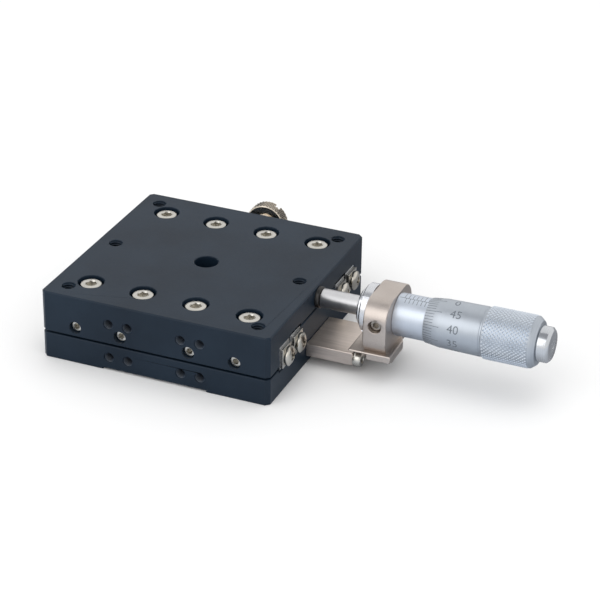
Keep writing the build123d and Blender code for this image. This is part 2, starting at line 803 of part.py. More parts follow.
# ================================================================ Rear clamp
clamp_spots = [(x, base_side_z) for x in clamp_hole_x]
block_face = Plane(origin=(0, block_back, 0), x_dir=(-1, 0, 0), z_dir=(0, 1, 0))

with BuildPart() as clamp_block:
    # Plate bolted to the base's side, thinned above the base so that the table slides past it.
    with BuildSketch(Plane.YZ.offset(-clamp_block_width / 2)):
        with BuildLine():
            Polyline(
                (half_width, clamp_block_bottom),
                (block_back, clamp_block_bottom),
                (block_back, clamp_block_top),
                (half_width + clamp_slot, clamp_block_top),
                (half_width + clamp_slot, shoulder_height),
                (half_width, shoulder_height),
                close=True,
            )
        make_face()
    extrude(amount=clamp_block_width)
    shoulders = clamp_block.edges().filter_by(Axis.Y).group_by(Axis.Z)[-1]
    fillet(shoulders, clamp_block_corner)
    drill(block_face, [(0, clamp_z)], clamp_screw_radius + clamp_screw_gap, clamp_block_thickness)
    drill(block_face, clamp_spots, m3_clearance_radius, clamp_block_thickness + clamp_slot)
write(clamp_block, "clamp_block")

block_screw = cap_screw(m3_radius, m3_head_radius, m3_head_height, m3_socket, m3_socket_depth,
                        block_back - half_width + clamp_block_thread)
block_places = [face_on((x, block_back, z), (0, 1, 0)) for x, z in clamp_spots]
write(group(block_screw, block_places), "clamp_block_screws")

with BuildPart() as clamp_pad:
    # Brass plug at the screw's point, which presses the table's side without turning.
    with BuildSketch(Plane.XZ.offset(-pad_front)):
        with Locations((0, clamp_z)):
            Circle(clamp_pad_radius)
    extrude(amount=-clamp_pad_length)
write(clamp_pad, "clamp_pad")

with BuildPart() as clamp_screw:
    # Threaded shank and knurled knob in one piece, with a coin slot across the end.
    with BuildSketch(Plane.XZ.offset(-(pad_front + clamp_pad_length))):
        with Locations((0, clamp_z)):
            Circle(clamp_screw_radius)
    extrude(amount=-(knob_start - pad_front - clamp_pad_length))
    with BuildSketch(Plane.XZ.offset(-(block_back + knob_hub_gap))):
        with Locations((0, clamp_z)):
            Circle(knob_hub_radius)
    extrude(amount=-(knob_start - block_back - knob_hub_gap))
    with BuildSketch(Plane.XZ.offset(-knob_start)):
        with Locations((0, clamp_z)):
            Circle(knob_radius)
    extrude(amount=-(knob_end - knob_start))
    chamfer(clamp_screw.faces().sort_by(Axis.Y)[-1].edges(), knob_chamfer)
    with BuildSketch(Plane.XZ.offset(-(knob_end - knob_slot_depth))):
        with Locations((0, clamp_z)):
            Rectangle(knob_slot, 3 * knob_radius, rotation=knob_slot_angle)
    extrude(amount=-knob_width, mode=Mode.SUBTRACT)
write(clamp_screw, "clamp_screw")
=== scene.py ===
"""Looks of a 60 mm crossed-roller linear stage with a side-mounted micrometer head."""
import json
import logging
import math
from dataclasses import dataclass
from enum import Enum
from typing import Callable, Sequence, Union

import bmesh
import bpy
from mathutils import Matrix, Vector

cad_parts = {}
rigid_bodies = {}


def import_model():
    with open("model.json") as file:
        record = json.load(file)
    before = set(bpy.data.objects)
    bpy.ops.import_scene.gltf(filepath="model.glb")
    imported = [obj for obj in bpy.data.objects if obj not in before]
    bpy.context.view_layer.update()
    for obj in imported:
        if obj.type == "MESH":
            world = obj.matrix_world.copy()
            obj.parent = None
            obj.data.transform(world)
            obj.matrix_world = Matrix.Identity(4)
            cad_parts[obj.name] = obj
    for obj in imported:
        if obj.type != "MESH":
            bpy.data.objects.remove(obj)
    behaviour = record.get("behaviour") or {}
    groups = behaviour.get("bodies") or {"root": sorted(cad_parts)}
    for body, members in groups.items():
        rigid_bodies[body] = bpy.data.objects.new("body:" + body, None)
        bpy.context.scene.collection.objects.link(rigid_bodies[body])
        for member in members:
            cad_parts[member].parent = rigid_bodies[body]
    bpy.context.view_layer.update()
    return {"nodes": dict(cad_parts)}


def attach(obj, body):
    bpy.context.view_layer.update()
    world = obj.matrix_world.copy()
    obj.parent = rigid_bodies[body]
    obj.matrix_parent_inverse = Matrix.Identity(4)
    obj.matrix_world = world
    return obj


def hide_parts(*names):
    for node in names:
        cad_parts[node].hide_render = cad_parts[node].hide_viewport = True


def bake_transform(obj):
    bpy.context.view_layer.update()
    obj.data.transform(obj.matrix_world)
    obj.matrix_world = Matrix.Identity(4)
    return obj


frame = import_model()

log = logging.getLogger("stage")

MM = 0.001  # metres
WELD = 2e-6  # metres; nearer points become one
FLAT = math.radians(3.0)  # a normal this near to its face's is set to it
CAPITAL = 0.7  # height of a figure over the size of its type
ORIGIN = (0.0, 0.0, 0.0)
Colour = tuple[float, float, float]
Point = tuple[float, float, float]
Profile = Sequence[tuple[float, float]]
Piece = bpy.types.Object
Socket = bpy.types.NodeSocket


class Axis(Enum):
    """Directions that pieces are turned about."""

    X = (1.0, 0.0, 0.0)
    Y = (0.0, 1.0, 0.0)
    Z = (0.0, 0.0, 1.0)

    @property
    def vector(self) -> Vector:
        """The direction as a vector."""
        return Vector(self.value)

    @property
    def sideways(self) -> Vector:
        """A direction square to this one."""
        return Vector((0.0, 0.0, 1.0)) if self is not Axis.Z else Vector((1.0, 0.0, 0.0))


def srgb(red: float, green: float, blue: float) -> Colour:
    """Linear colour of an 8-bit display colour.

    Args:
        red: Red from 0 to 255.
        green: Green from 0 to 255.
        blue: Blue from 0 to 255.

    Returns:
        The colour as linear red, green and blue.
    """

    def linear(level: float) -> float:
        """Linear level of one channel."""
        share = level / 255.0
        return share / 12.92 if share <= 0.04045 else ((share + 0.055) / 1.055) ** 2.4

    return (linear(red), linear(green), linear(blue))


# ------------------------------------------------------------------ Modelling steps


class Workshop:
    """Modelling steps that the sub-assemblies share. Sizes are given in millimetres."""

    @staticmethod
    def clear() -> None:
        """Leave edit mode and deselect everything."""
        active = bpy.context.view_layer.objects.active
        if active is not None and active.mode != "OBJECT":
            bpy.ops.object.mode_set(mode="OBJECT")
        bpy.ops.object.select_all(action="DESELECT")

    @classmethod
    def hold(cls, piece: Piece) -> None:
        """Make one piece the selected and active one."""
        cls.clear()
        piece.select_set(True)
        bpy.context.view_layer.objects.active = piece

    @classmethod
    def open(cls, piece: Piece) -> None:
        """Enter edit mode on a piece with all of it selected."""
        cls.hold(piece)
        bpy.ops.object.mode_set(mode="EDIT")
        bpy.ops.mesh.select_mode(type="VERT")
        bpy.ops.mesh.select_all(action="SELECT")

    @staticmethod
    def close() -> None:
        """Leave edit mode."""
        bpy.ops.object.mode_set(mode="OBJECT")

    @classmethod
    def heal(cls, piece: Piece, sides: int = 0, weld: float = WELD) -> None:
        """Weld a piece, close its small holes and turn its faces outward.

        Args:
            piece: The piece.
            sides: Most sides of a hole that is closed, or 0 to close none.
            weld: Points nearer than this, in metres, become one.
        """
        cls.open(piece)
        bpy.ops.mesh.remove_doubles(threshold=weld)
        if sides:
            bpy.ops.mesh.fill_holes(sides=sides)
        bpy.ops.mesh.normals_make_consistent(inside=False)
        cls.close()

    @classmethod
    def squeeze(cls, piece: Piece, chosen: Callable[[Vector], bool], scale: Point) -> None:
        """Scale the vertices that a test accepts about the origin.

        Args:
            piece: The piece.
            chosen: A test on a vertex's place in millimetres.
            scale: Scale along each axis.
        """
        cls.open(piece)
        cls.pick(piece, chosen)
        bpy.ops.transform.resize(value=scale, center_override=ORIGIN)
        cls.close()

    @classmethod
    def settle(cls, piece: Piece, name: str) -> Piece:
        """Put a piece's place into its mesh, so that its object sits at the origin.

        Args:
            piece: The piece to settle.
            name: Its final name.

        Returns:
            The same piece.
        """
        cls.hold(piece)
        bpy.ops.object.transform_apply(location=True, rotation=True, scale=True)
        piece.name = name
        piece.data.name = name
        return piece

    @classmethod
    def pick(cls, piece: Piece, chosen: Callable[[Vector], bool]) -> None:
        """Select the vertices of the piece in edit mode that a test accepts.

        Args:
            piece: The piece, already in edit mode.
            chosen: A test on a vertex's place in millimetres.
        """
        bpy.ops.mesh.select_all(action="DESELECT")
        mesh = bmesh.from_edit_mesh(piece.data)
        for vertex in mesh.verts:
            vertex.select_set(bool(chosen(vertex.co / MM)))
        mesh.select_flush_mode()
        bmesh.update_edit_mesh(piece.data)

    @classmethod
    def block(cls, name: str, low: Point, high: Point) -> Piece:
        """A block between two opposite corners.

        Args:
            name: Name of the piece.
            low: Lowest corner.
            high: Highest corner.

        Returns:
            The block.
        """
        middle = [(a + b) / 2 * MM for a, b in zip(low, high)]
        size = [(b - a) * MM for a, b in zip(low, high)]
        cls.clear()
        bpy.ops.mesh.primitive_cube_add(size=1.0, location=middle, scale=size)
        return cls.settle(bpy.context.object, name)

    @classmethod
    def chain(cls, spots: Sequence[Vector]) -> Piece:
        """Draw a chain of edges through points and leave it in edit mode, all selected.

        Args:
            spots: The points in order, in metres.

        Returns:
            The chain.
        """
        cls.clear()
        bpy.ops.mesh.primitive_plane_add(size=MM, location=spots[0])
        piece = bpy.context.object
        cls.open(piece)
        bpy.ops.mesh.merge(type="CENTER")
        for here, there in zip(spots, spots[1:]):
            bpy.ops.mesh.extrude_region_move(
                TRANSFORM_OT_translate={"value": tuple(there - here)})
        bpy.ops.mesh.select_all(action="SELECT")
        return piece

    @classmethod
    def turned(cls, name: str, profile: Profile, centre: Point,
               axis: Axis = Axis.X, steps: int = 96) -> Piece:
        """Turn a profile right round an axis.

        Args:
            name: Name of the piece.
            profile: Pairs of distance along the axis and radius.
            centre: Point on the axis that the distances start from.
            axis: The axis turned about.
            steps: Flats in a full turn.

        Returns:
            The turned piece, with its turning marks stored.
        """
        start = Vector(centre)
        piece = cls.chain([(start + axis.vector * along + axis.sideways * radius) * MM
                           for along, radius in profile])
        bpy.ops.mesh.spin(steps=steps, angle=math.tau, center=tuple(start * MM),
                          axis=axis.value)
        cls.heal(piece)
        cls.settle(piece, name)
        cls.score(piece, centre, axis)
        return piece

    @classmethod
    def score(cls, piece: Piece, centre: Point, axis: Axis) -> None:
        """Store the distance that turning marks follow: along the axis plus out from it.

        Args:
            piece: The piece to mark.
            centre: Point on its axis.
            axis: Its axis.
        """
        marks = piece.data.attributes.get("turning")
        if marks is None:
            marks = piece.data.attributes.new("turning", "FLOAT", "POINT")
        start = Vector(centre)
        for vertex in piece.data.vertices:
            arm = vertex.co / MM - start
            along = arm.dot(axis.vector)
            marks.data[vertex.index].value = along + (arm - axis.vector * along).length

    @classmethod
    def helix(cls, name: str, profile: Profile, pitch: float,
              turns: int, steps: int) -> Piece:
        """Wind a closed profile up the Z axis.

        Args:
            name: Name of the piece.
            profile: Pairs of radius and height round the profile.
            pitch: Rise of each turn.
            turns: Number of turns.
            steps: Flats in a turn.

        Returns:
            The wound piece, which starts at height 0.
        """
        piece = cls.chain([Vector((radius, 0.0, height)) * MM for radius, height in profile])
        bpy.ops.mesh.edge_face_add()
        cls.close()
        cls.settle(piece, name)
        step = piece.modifiers.new("Wind", "SCREW")
        step.axis = "Z"
        step.iterations = turns
        step.screw_offset = pitch * MM
        step.steps = steps
        step.render_steps = steps
        bpy.ops.object.modifier_apply(modifier=step.name)
        cls.heal(piece, len(profile))
        return piece

    @classmethod
    def diamonds(cls, piece: Piece, centre: Point, axis: Axis, radius: float,
                 depth: float, start: float, pitch: float, columns: int) -> None:
        """Knurl a turned rim by sinking every other vertex of its grid, and mark those.

        Args:
            piece: The turned piece.
            centre: Point on its axis.
            axis: Its axis.
            radius: Radius of the rim before knurling.
            depth: Depth of the grooves.
            start: Place of the rim's first row along the axis.
            pitch: Distance between rows.
            columns: Vertices in each row.
        """
        origin = Vector(centre)
        side = axis.vector.cross(axis.sideways)
        step = math.tau / columns

        def rim(at: Vector) -> bool:
            """Whether a vertex is on the rim."""
            arm = at - origin
            return (arm - axis.vector * arm.dot(axis.vector)).length > radius - 0.02

        def sunk(at: Vector) -> bool:
            """Whether a vertex is at the foot of a groove."""
            arm = at - origin
            column = round(math.atan2(arm.dot(side), arm.dot(axis.sideways)) / step)
            row = round((arm.dot(axis.vector) - start) / pitch)
            return rim(at) and (column + row) % 2 == 1

        cls.open(piece)
        cls.pick(piece, rim)
        bpy.ops.mesh.select_more()
        bpy.ops.mesh.select_mode(type="FACE")
        cls.close()
        grid = [face.index for face in piece.data.polygons if face.select]
        bpy.ops.object.mode_set(mode="EDIT")
        bpy.ops.mesh.select_mode(type="VERT")
        cls.pick(piece, sunk)
        share = 1.0 - depth / radius
        scale = [1.0 if part else share for part in axis.value]
        bpy.ops.transform.resize(value=scale, center_override=tuple(origin * MM))
        cls.close()
        feet = piece.data.attributes.new("groove", "FLOAT", "POINT")
        for vertex in piece.data.vertices:
            feet.data[vertex.index].value = float(vertex.select)
        bpy.ops.object.mode_set(mode="EDIT")
        bpy.ops.mesh.select_all(action="DESELECT")
        mesh = bmesh.from_edit_mesh(piece.data)
        mesh.faces.ensure_lookup_table()
        for index in grid:
            mesh.faces[index].select_set(True)
        bmesh.update_edit_mesh(piece.data)
        bpy.ops.mesh.quads_convert_to_tris(quad_method="SHORTEST_DIAGONAL")
        cls.close()

    @classmethod
    def cut(cls, piece: Piece, cutter: Piece) -> None:
        """Take a cutter's shape out of a piece and throw the cutter away.

        Args:
            piece: The piece to cut.
            cutter: The closed shape to remove.
        """
        step = piece.modifiers.new("Cut", "BOOLEAN")
        step.operation = "DIFFERENCE"
        step.solver = "EXACT"
        step.object = cutter
        cls.hold(piece)
        bpy.ops.object.modifier_apply(modifier=step.name)
        bpy.data.objects.remove(cutter)

    @classmethod
    def ease(cls, piece: Piece, width: float, segments: int = 2,
             angle: float = 50.0) -> None:
        """Round the sharp outer edges of a piece a little and leave its inner corners.

        Args:
            piece: The piece.
            width: Width of the rounding.
            segments: Flats across it.
            angle: Edges that turn by less than these degrees stay as they are.
        """
        mesh = bmesh.new()
        mesh.from_mesh(piece.data)
        weight = mesh.edges.layers.float.new("bevel_weight_edge")
        for edge in mesh.edges:
            edge[weight] = float(edge.is_convex
                                 and edge.calc_face_angle(0.0) > math.radians(angle))
        mesh.to_mesh(piece.data)
        mesh.free()
        step = piece.modifiers.new("Ease", "BEVEL")
        step.width = width * MM
        step.segments = segments
        step.limit_method = "WEIGHT"
        step.use_clamp_overlap = False
        step.harden_normals = True
        cls.hold(piece)
        bpy.ops.object.modifier_apply(modifier=step.name)

    @classmethod
    def smooth(cls, piece: Piece, angle: float = 32.0,
               weighted: bool = False) -> None:
        """Shade curved faces smoothly and keep corners sharp.

        Args:
            piece: The piece.
            angle: Edges that turn by more than these degrees stay sharp.
            weighted: Whether flat faces stay flat up to their rounded edges.
        """
        cls.hold(piece)
        bpy.ops.object.shade_smooth_by_angle(angle=math.radians(angle))
        if weighted:
            step = piece.modifiers.new("Weight", "WEIGHTED_NORMAL")
            step.keep_sharp = True
            step.weight = 90
            bpy.ops.object.modifier_apply(modifier=step.name)
            normals = [corner.vector.copy() for corner in piece.data.corner_normals]
            for face in piece.data.polygons:
                for index in face.loop_indices:
                    if normals[index].angle(face.normal, math.pi) < FLAT:
                        normals[index] = face.normal.copy()
            piece.data.normals_split_custom_set(normals)

    @classmethod
    def refined(cls, node: str, name: str, width: float, segments: int = 2) -> Piece:
        """A welded copy of a solid with its flat faces whole and its edges eased.

        Args:
            node: Name of the solid.
            name: Name of the new piece.
            width: Width of the eased edges.
            segments: Flats across them.

        Returns:
            The new piece.
        """
        source = frame["nodes"][node]
        piece = bpy.data.objects.new(name, source.data.copy())
        piece.data.materials.clear()
        bpy.context.scene.collection.objects.link(piece)
        cls.open(piece)
        bpy.ops.mesh.remove_doubles(threshold=WELD)
        bpy.ops.mesh.dissolve_limited(angle_limit=math.radians(0.5))
        cls.close()
        cls.settle(piece, name)
        if width > 0:
            cls.ease(piece, width, segments)
        cls.smooth(piece, weighted=True)
        return piece

    @classmethod
    def copies(cls, model: Piece, name: str,
               places: Sequence[Matrix]) -> Piece:
        """Copy a modelled piece to each place, each with its own mesh, as one group.

        Args:
            model: The piece to copy, which is used up.
            name: Name of the group.
            places: Where the copies go.

        Returns:
            The group.
        """
        made = []
        for place in places:
            copy = bpy.data.objects.new(name, model.data.copy())
            bpy.context.scene.collection.objects.link(copy)
            copy.matrix_world = place
            made.append(copy)
        bpy.data.objects.remove(model)
        return cls.together(made, name)

    @classmethod
    def together(cls, pieces: Sequence[Piece], name: str) -> Piece:
        """Join pieces into one.

        Args:
            pieces: The pieces, which are used up.
            name: Name of the result.

        Returns:
            The joined piece.
        """
        cls.hold(pieces[0])
        for piece in pieces:
            piece.select_set(True)
        bpy.ops.object.transform_apply(location=True, rotation=True, scale=True)
        if len(pieces) > 1:
            bpy.ops.object.join()
        return cls.settle(bpy.context.view_layer.objects.active, name)


def seat(origin: Point, outward: Point, turn: float = 0.0) -> Matrix:
    """A place whose own Z points outward.

    Args:
        origin: Where it is, in millimetres.
        outward: Where its Z points.
        turn: Degrees that it is turned about that direction.

    Returns:
        The place as a matrix in metres.
    """
    facing = Vector(outward).to_track_quat("Z", "Y").to_matrix().to_4x4()
    return (Matrix.Translation(Vector(origin) * MM) @ facing
            @ Matrix.Rotation(math.radians(turn), 4, "Z"))


# ------------------------------------------------------------------ Materials


class Signal:
    """A number inside a material. Arithmetic on it adds Math nodes."""

    def __init__(self, nodes: "NodeTree", socket: Socket) -> None:
        """Wrap a socket of a node tree."""
        self.nodes = nodes
        self.socket = socket

    def _step(self, operation: str, first: "Number", second: "Number") -> "Signal":
        """Add one Math node and wrap its result."""
        node = self.nodes.node("ShaderNodeMath", {"operation": operation},
                               {0: first, 1: second})
        return Signal(self.nodes, node.outputs[0])

    def __add__(self, other: "Number") -> "Signal":
        """This number plus another."""
        return self._step("ADD", self, other)

    def __radd__(self, other: "Number") -> "Signal":
        """Another number plus this one."""
        return self._step("ADD", other, self)

    def __mul__(self, other: "Number") -> "Signal":
        """This number times another."""
        return self._step("MULTIPLY", self, other)

    def __rmul__(self, other: "Number") -> "Signal":
        """Another number times this one."""
        return self._step("MULTIPLY", other, self)


Number = Union[Signal, float]
Value = Union[Signal, Socket, float, tuple]
Paint = Union[Colour, Socket]


class NodeTree:
    """The nodes of a material or of the world."""

    def __init__(self, owner: bpy.types.Material | bpy.types.World) -> None:
        """Start with no nodes."""
        owner.use_nodes = True
        self.tree = owner.node_tree
        self.tree.nodes.clear()

    def node(self, kind: str, settings: dict | None = None,
             inputs: dict | None = None) -> bpy.types.Node:
        """Add a node of any type.

        Args:
            kind: Blender's name of the node type.
            settings: Its own settings, set before its sockets.
            inputs: Value or link of each socket, by name or number.

        Returns:
            The node.
        """
        made = self.tree.nodes.new(kind)
        for key, value in (settings or {}).items():
            setattr(made, key, value)
        for key, value in (inputs or {}).items():
            self.feed(made.inputs[key], value)
        return made

    def feed(self, socket: Socket, value: Value) -> None:
        """Set a socket to a value, or link it.

        Args:
            socket: The socket to feed.
            value: A number, a colour, a socket or a signal.
        """
        if isinstance(value, Signal):
            self.tree.links.new(value.socket, socket)
        elif isinstance(value, Socket):
            self.tree.links.new(value, socket)
        else:
            socket.default_value = value


class Recipe(NodeTree):
    """The nodes of one material, which end in one Principled surface."""

    def __init__(self, name: str) -> None:
        """Start a material with a Principled surface."""
        self.material = bpy.data.materials.new(name)
        super().__init__(self.material)
        self.surface = self.node("ShaderNodeBsdfPrincipled")
        self.node("ShaderNodeOutputMaterial", inputs={"Surface": self.surface.outputs["BSDF"]})

    def noise(self, scale: float, stretch: Point = (1.0, 1.0, 1.0), detail: float = 2.0,
              turn: Point = (0.0, 0.0, 0.0)) -> Signal:
        """A cloudy pattern on object coordinates, from 0 to 1.

        Args:
            scale: Features per metre.
            stretch: Share of that scale along each axis.
            detail: Finer layers on top.
            turn: Rotation of the pattern in radians.

        Returns:
            The pattern.
        """
        place = self.node("ShaderNodeTexCoord").outputs["Object"]
        mapped = self.node("ShaderNodeMapping", inputs={
            "Vector": place, "Scale": stretch, "Rotation": turn})
        made = self.node("ShaderNodeTexNoise", inputs={
            "Vector": mapped.outputs["Vector"], "Scale": scale, "Detail": detail})
        return Signal(self, made.outputs[0])

    def rings(self, pitch: float) -> Signal:
        """Fine turning marks from the piece's own turning distance.

        Args:
            pitch: Millimetres from mark to mark.

        Returns:
            The pattern, from 0 to 1.
        """
        made = self.node("ShaderNodeTexNoise", {"noise_dimensions": "1D"}, {
            "W": self.stored("turning"), "Scale": 1.0 / pitch, "Detail": 3.0})
        return Signal(self, made.outputs[0])

    def stored(self, name: str) -> Signal:
        """A number that the piece's mesh stores at its vertices.

        Args:
            name: Its name.

        Returns:
            The number.
        """
        marks = self.node("ShaderNodeAttribute", {"attribute_name": name})
        return Signal(self, marks.outputs["Fac"])

    def level(self, signal: Signal, low: float, high: float, out_low: float = 0.0,
              out_high: float = 1.0) -> Signal:
        """Spread part of a signal's range over another range, clamped.

        Args:
            signal: The signal.
            low: Value that becomes out_low.
            high: Value that becomes out_high.
            out_low: Lowest result.
            out_high: Highest result.

        Returns:
            The spread signal.
        """
        made = self.node("ShaderNodeMapRange", {"clamp": True}, {
            "Value": signal, "From Min": low, "From Max": high,
            "To Min": out_low, "To Max": out_high})
        return Signal(self, made.outputs["Result"])

    def mix(self, mask: Signal, first: Paint, second: Paint) -> Socket:
        """Two colours mixed by a mask.

        Args:
            mask: Share of the second colour.
            first: Colour where the mask is 0.
            second: Colour where the mask is 1.

        Returns:
            The mixed colour.
        """
        paints = [(*paint, 1.0) if isinstance(paint, tuple) else paint
                  for paint in (first, second)]
        made = self.node("ShaderNodeMix", {"data_type": "RGBA"},
                         {0: mask, 6: paints[0], 7: paints[1]})
        return made.outputs[2]

    def relief(self, height: Signal, depth: float) -> None:
        """Raise the surface by a height pattern.

        Args:
            height: The pattern, from 0 to 1.
            depth: Millimetres from its lowest to its highest.
        """
        bump = self.node("ShaderNodeBump", inputs={
            "Height": height, "Distance": depth * MM, "Strength": 1.0})
        self.feed(self.surface.inputs["Normal"], bump.outputs["Normal"])

    def dress(self, **sockets: Value) -> None:
        """Feed sockets of the surface; underscores in names stand for spaces."""
        for name, value in sockets.items():
            self.feed(self.surface.inputs[name.replace("_", " ")], value)


@dataclass(frozen=True)
class Anodise:
    """Dyed anodised aluminium with a blasted grain."""

    name: str = "Black anodise"
    dark: Colour = srgb(16, 29, 42)
    pale: Colour = srgb(26, 40, 54)
    gloss: float = 0.2
    roughness: float = 0.42
    grain_scale: float = 5200.0
    grain_depth: float = 0.006

    def material(self) -> bpy.types.Material:
        """Build the material."""
        recipe = Recipe(self.name)
        clouds = recipe.noise(60.0, detail=4.0)
        grain = recipe.noise(self.grain_scale, detail=3.0)
        tone = recipe.level(clouds * 0.7 + grain * 0.3, 0.35, 0.65)
        recipe.dress(Base_Color=recipe.mix(tone, self.dark, self.pale),
                     Specular_IOR_Level=self.gloss,
                     Roughness=recipe.level(grain, 0.3, 0.7, self.roughness - 0.05,
                                            self.roughness + 0.07))
        recipe.relief(grain, self.grain_depth)
        return recipe.material


@dataclass(frozen=True)
class BlastedMetal:
    """Bare or plated metal with a fine blasted or milled grain."""

    name: str
    colour: Colour
    shade: Colour
    roughness: float = 0.35
    grain_scale: float = 4000.0
    grain_depth: float = 0.006
    stretch: Point = (1.0, 1.0, 1.0)

    def material(self) -> bpy.types.Material:
        """Build the material."""
        recipe = Recipe(self.name)
        clouds = recipe.noise(90.0, detail=3.0)
        grain = recipe.noise(self.grain_scale, self.stretch, detail=3.0)
        tone = recipe.level(clouds * 0.6 + grain * 0.4, 0.35, 0.65)
        recipe.dress(Metallic=1.0, Base_Color=recipe.mix(tone, self.shade, self.colour),
                     Roughness=recipe.level(grain, 0.3, 0.7, self.roughness - 0.06,
                                            self.roughness + 0.06))
        recipe.relief(grain, self.grain_depth)
        return recipe.material


@dataclass(frozen=True)
class TurnedMetal:
    """Metal with the fine rings that a lathe or grinder leaves.

    The feet of a knurl's grooves get painted shade, as much as its last field says.
    """

    name: str
    colour: Colour
    shade: Colour
    roughness: float = 0.25
    pitch: float = 0.12
    ring_depth: float = 0.002
    spread: float = 0.05
    grime: float = 0.0

    def material(self) -> bpy.types.Material:
        """Build the material."""
        recipe = Recipe(self.name)
        rings = recipe.rings(self.pitch)
        haze = recipe.noise(300.0, detail=3.0)
        tone = recipe.level(rings * 0.6 + haze * 0.4, 0.35, 0.65)
        paint = recipe.mix(tone, self.shade, self.colour)
        # Painted shade: the feet of a knurl's grooves are darkened towards a dark tone, as if
        # shade fell there.
        if self.grime:
            paint = recipe.mix(recipe.stored("groove") * self.grime, paint,
                               tuple(0.1 * part for part in self.shade))
        recipe.dress(Metallic=1.0, Base_Color=paint,
                     Roughness=recipe.level(haze * 0.5 + rings * 0.5, 0.35, 0.65,
                                            self.roughness - self.spread,
                                            self.roughness + self.spread))
        recipe.relief(rings, self.ring_depth)
        return recipe.material


@dataclass(frozen=True)
class Ink:
    """Paint rubbed into engraved lines and figures."""

    name: str = "Scale ink"
    colour: Colour = srgb(98, 105, 113)
    worn: Colour = srgb(138, 146, 155)

    def material(self) -> bpy.types.Material:
        """Build the material."""
        recipe = Recipe(self.name)
        wear = recipe.noise(4000.0, detail=3.0)
        recipe.dress(Base_Color=recipe.mix(recipe.level(wear, 0.5, 0.7), self.colour, self.worn),
                     Roughness=0.5)
        recipe.relief(wear, 0.003)
        return recipe.material


class Finish(Enum):
    """Finishes of the stage, each with the record's slot that it stands for."""

    ANODISE = ("black_anodise", Anodise())
    # Painted highlight: the side threads are a paler copy of the anodise, so that the hole walls
    # look lit; their higher gloss and lower roughness are real settings.
    THREAD = ("black_anodise", Anodise(
        "Tapped anodise", srgb(44, 53, 66), srgb(64, 74, 88), 0.45, 0.34, 6400.0, 0.002))
    RAIL = ("hardened_steel", BlastedMetal(
        "Ground steel", srgb(176, 178, 182), srgb(160, 162, 166), 0.28, 3000.0, 0.003,
        (0.03, 1.0, 1.0)))
    SCREW = ("stainless_screw", TurnedMetal(
        "Stainless screw", srgb(212, 209, 202), srgb(186, 183, 176), 0.27, 0.1, 0.004))
    PAN = ("bright_screw", TurnedMetal(
        "Bright screw", srgb(212, 207, 197), srgb(178, 173, 163), 0.18, 0.15, 0.003))
    DARK = ("dark_screw", TurnedMetal(
        "Black oxide", srgb(74, 73, 72), srgb(52, 51, 51), 0.34, 0.12, 0.003))
    # Painted highlight: the lock screw's black oxide is painted far lighter than the other black
    # oxide, to stand in for its shine.
    LOCK = ("dark_screw", TurnedMetal(
        "Black oxide with painted highlight", srgb(178, 172, 164), srgb(138, 133, 127), 0.28, 0.1, 0.003))
    PLATE = ("stainless_plate", BlastedMetal(
        "Stainless strip", srgb(205, 203, 198), srgb(186, 184, 178), 0.3, 3000.0, 0.003,
        (1.0, 0.05, 1.0)))
    SPRING = ("spring_steel", BlastedMetal(
        "Spring wire", srgb(170, 170, 170), srgb(140, 140, 140), 0.35))
    NICKEL = ("nickel_plate", BlastedMetal(
        "Satin nickel", srgb(200, 191, 184), srgb(179, 169, 162), 0.38, 4200.0, 0.005))
    BRUSHED = ("nickel_plate", BlastedMetal(
        "Brushed nickel", srgb(224, 212, 203), srgb(193, 181, 172), 0.36, 2600.0, 0.003,
        (0.04, 1.0, 1.0)))
    NUT = ("nickel_plate", TurnedMetal(
        "Turned nickel", srgb(226, 227, 230), srgb(202, 204, 208), 0.26, 0.1, 0.004))
    # Painted light: the knurl is a lighter copy of the satin chrome, to offset the shade in its
    # grooves, and gets painted shade at its groove feet.
    KNURL = ("satin_chrome", TurnedMetal(
        "Knurled chrome", srgb(218, 225, 234), srgb(202, 210, 220), 0.3, 0.3, 0.001, grime=0.1))
    GROUND = ("ground_steel", TurnedMetal(
        "Ground spindle steel", srgb(218, 218, 219), srgb(200, 200, 202), 0.37, 0.08, 0.0012,
        0.05))
    SLEEVE = ("satin_chrome", TurnedMetal(
        "Sleeve chrome", srgb(208, 215, 225), srgb(196, 203, 213), 0.44, 0.09, 0.0025))
    THIMBLE = ("satin_chrome", TurnedMetal(
        "Thimble chrome", srgb(189, 195, 202), srgb(175, 181, 189), 0.44, 0.09, 0.0025))
    CAP = ("polished_chrome", TurnedMetal(
        "Polished chrome", srgb(214, 216, 219), srgb(192, 195, 199), 0.24, 0.14, 0.003))
    KNOB = ("knurled_stainless", TurnedMetal(
        "Knurled stainless", srgb(224, 213, 198), srgb(190, 180, 165), 0.26, 0.12, 0.003,
        grime=0.85))
    BRASS = ("cage_brass", BlastedMetal(
        "Brass", srgb(206, 176, 104), srgb(188, 158, 90), 0.3, 3500.0, 0.003))
    INK = ("satin_chrome", Ink())

    @property
    def slot(self) -> str:
        """The record's slot."""
        return self.value[0]

    def material(self) -> bpy.types.Material:
        """The finish's material, built once."""
        made = bpy.data.materials.get(self.value[1].name)
        return made if made is not None else self.value[1].material()


def deliver(piece: Piece, body: str | None, finish: Finish, *nodes: str) -> None:
    """Finish a piece, set it on its body and hide the solids that it stands for.

    Args:
        piece: The finished piece.
        body: The body that it rides on, or None where it stretches between two.
        finish: Its finish.
        nodes: The solids that it replaces.
    """
    piece.data.materials.clear()
    piece.data.materials.append(finish.material())
    if body is not None:
        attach(piece, body)
    if nodes:
        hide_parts(*nodes)
    log.info("%s on %s, %s, %d faces", piece.name, body, finish.name, len(piece.data.polygons))


def keep(node: str, name: str, body: str, finish: Finish, width: float,
         segments: int = 2) -> None:
    """Deliver a solid in its own shape, with its edges eased.

    Args:
        node: Name of the solid.
        name: Name of the piece.
        body: The body that it rides on.
        finish: Its finish.
        width: Width of the eased edges.
        segments: Flats across them.
    """
    deliver(Workshop.refined(node, name, width, segments), body, finish, node)


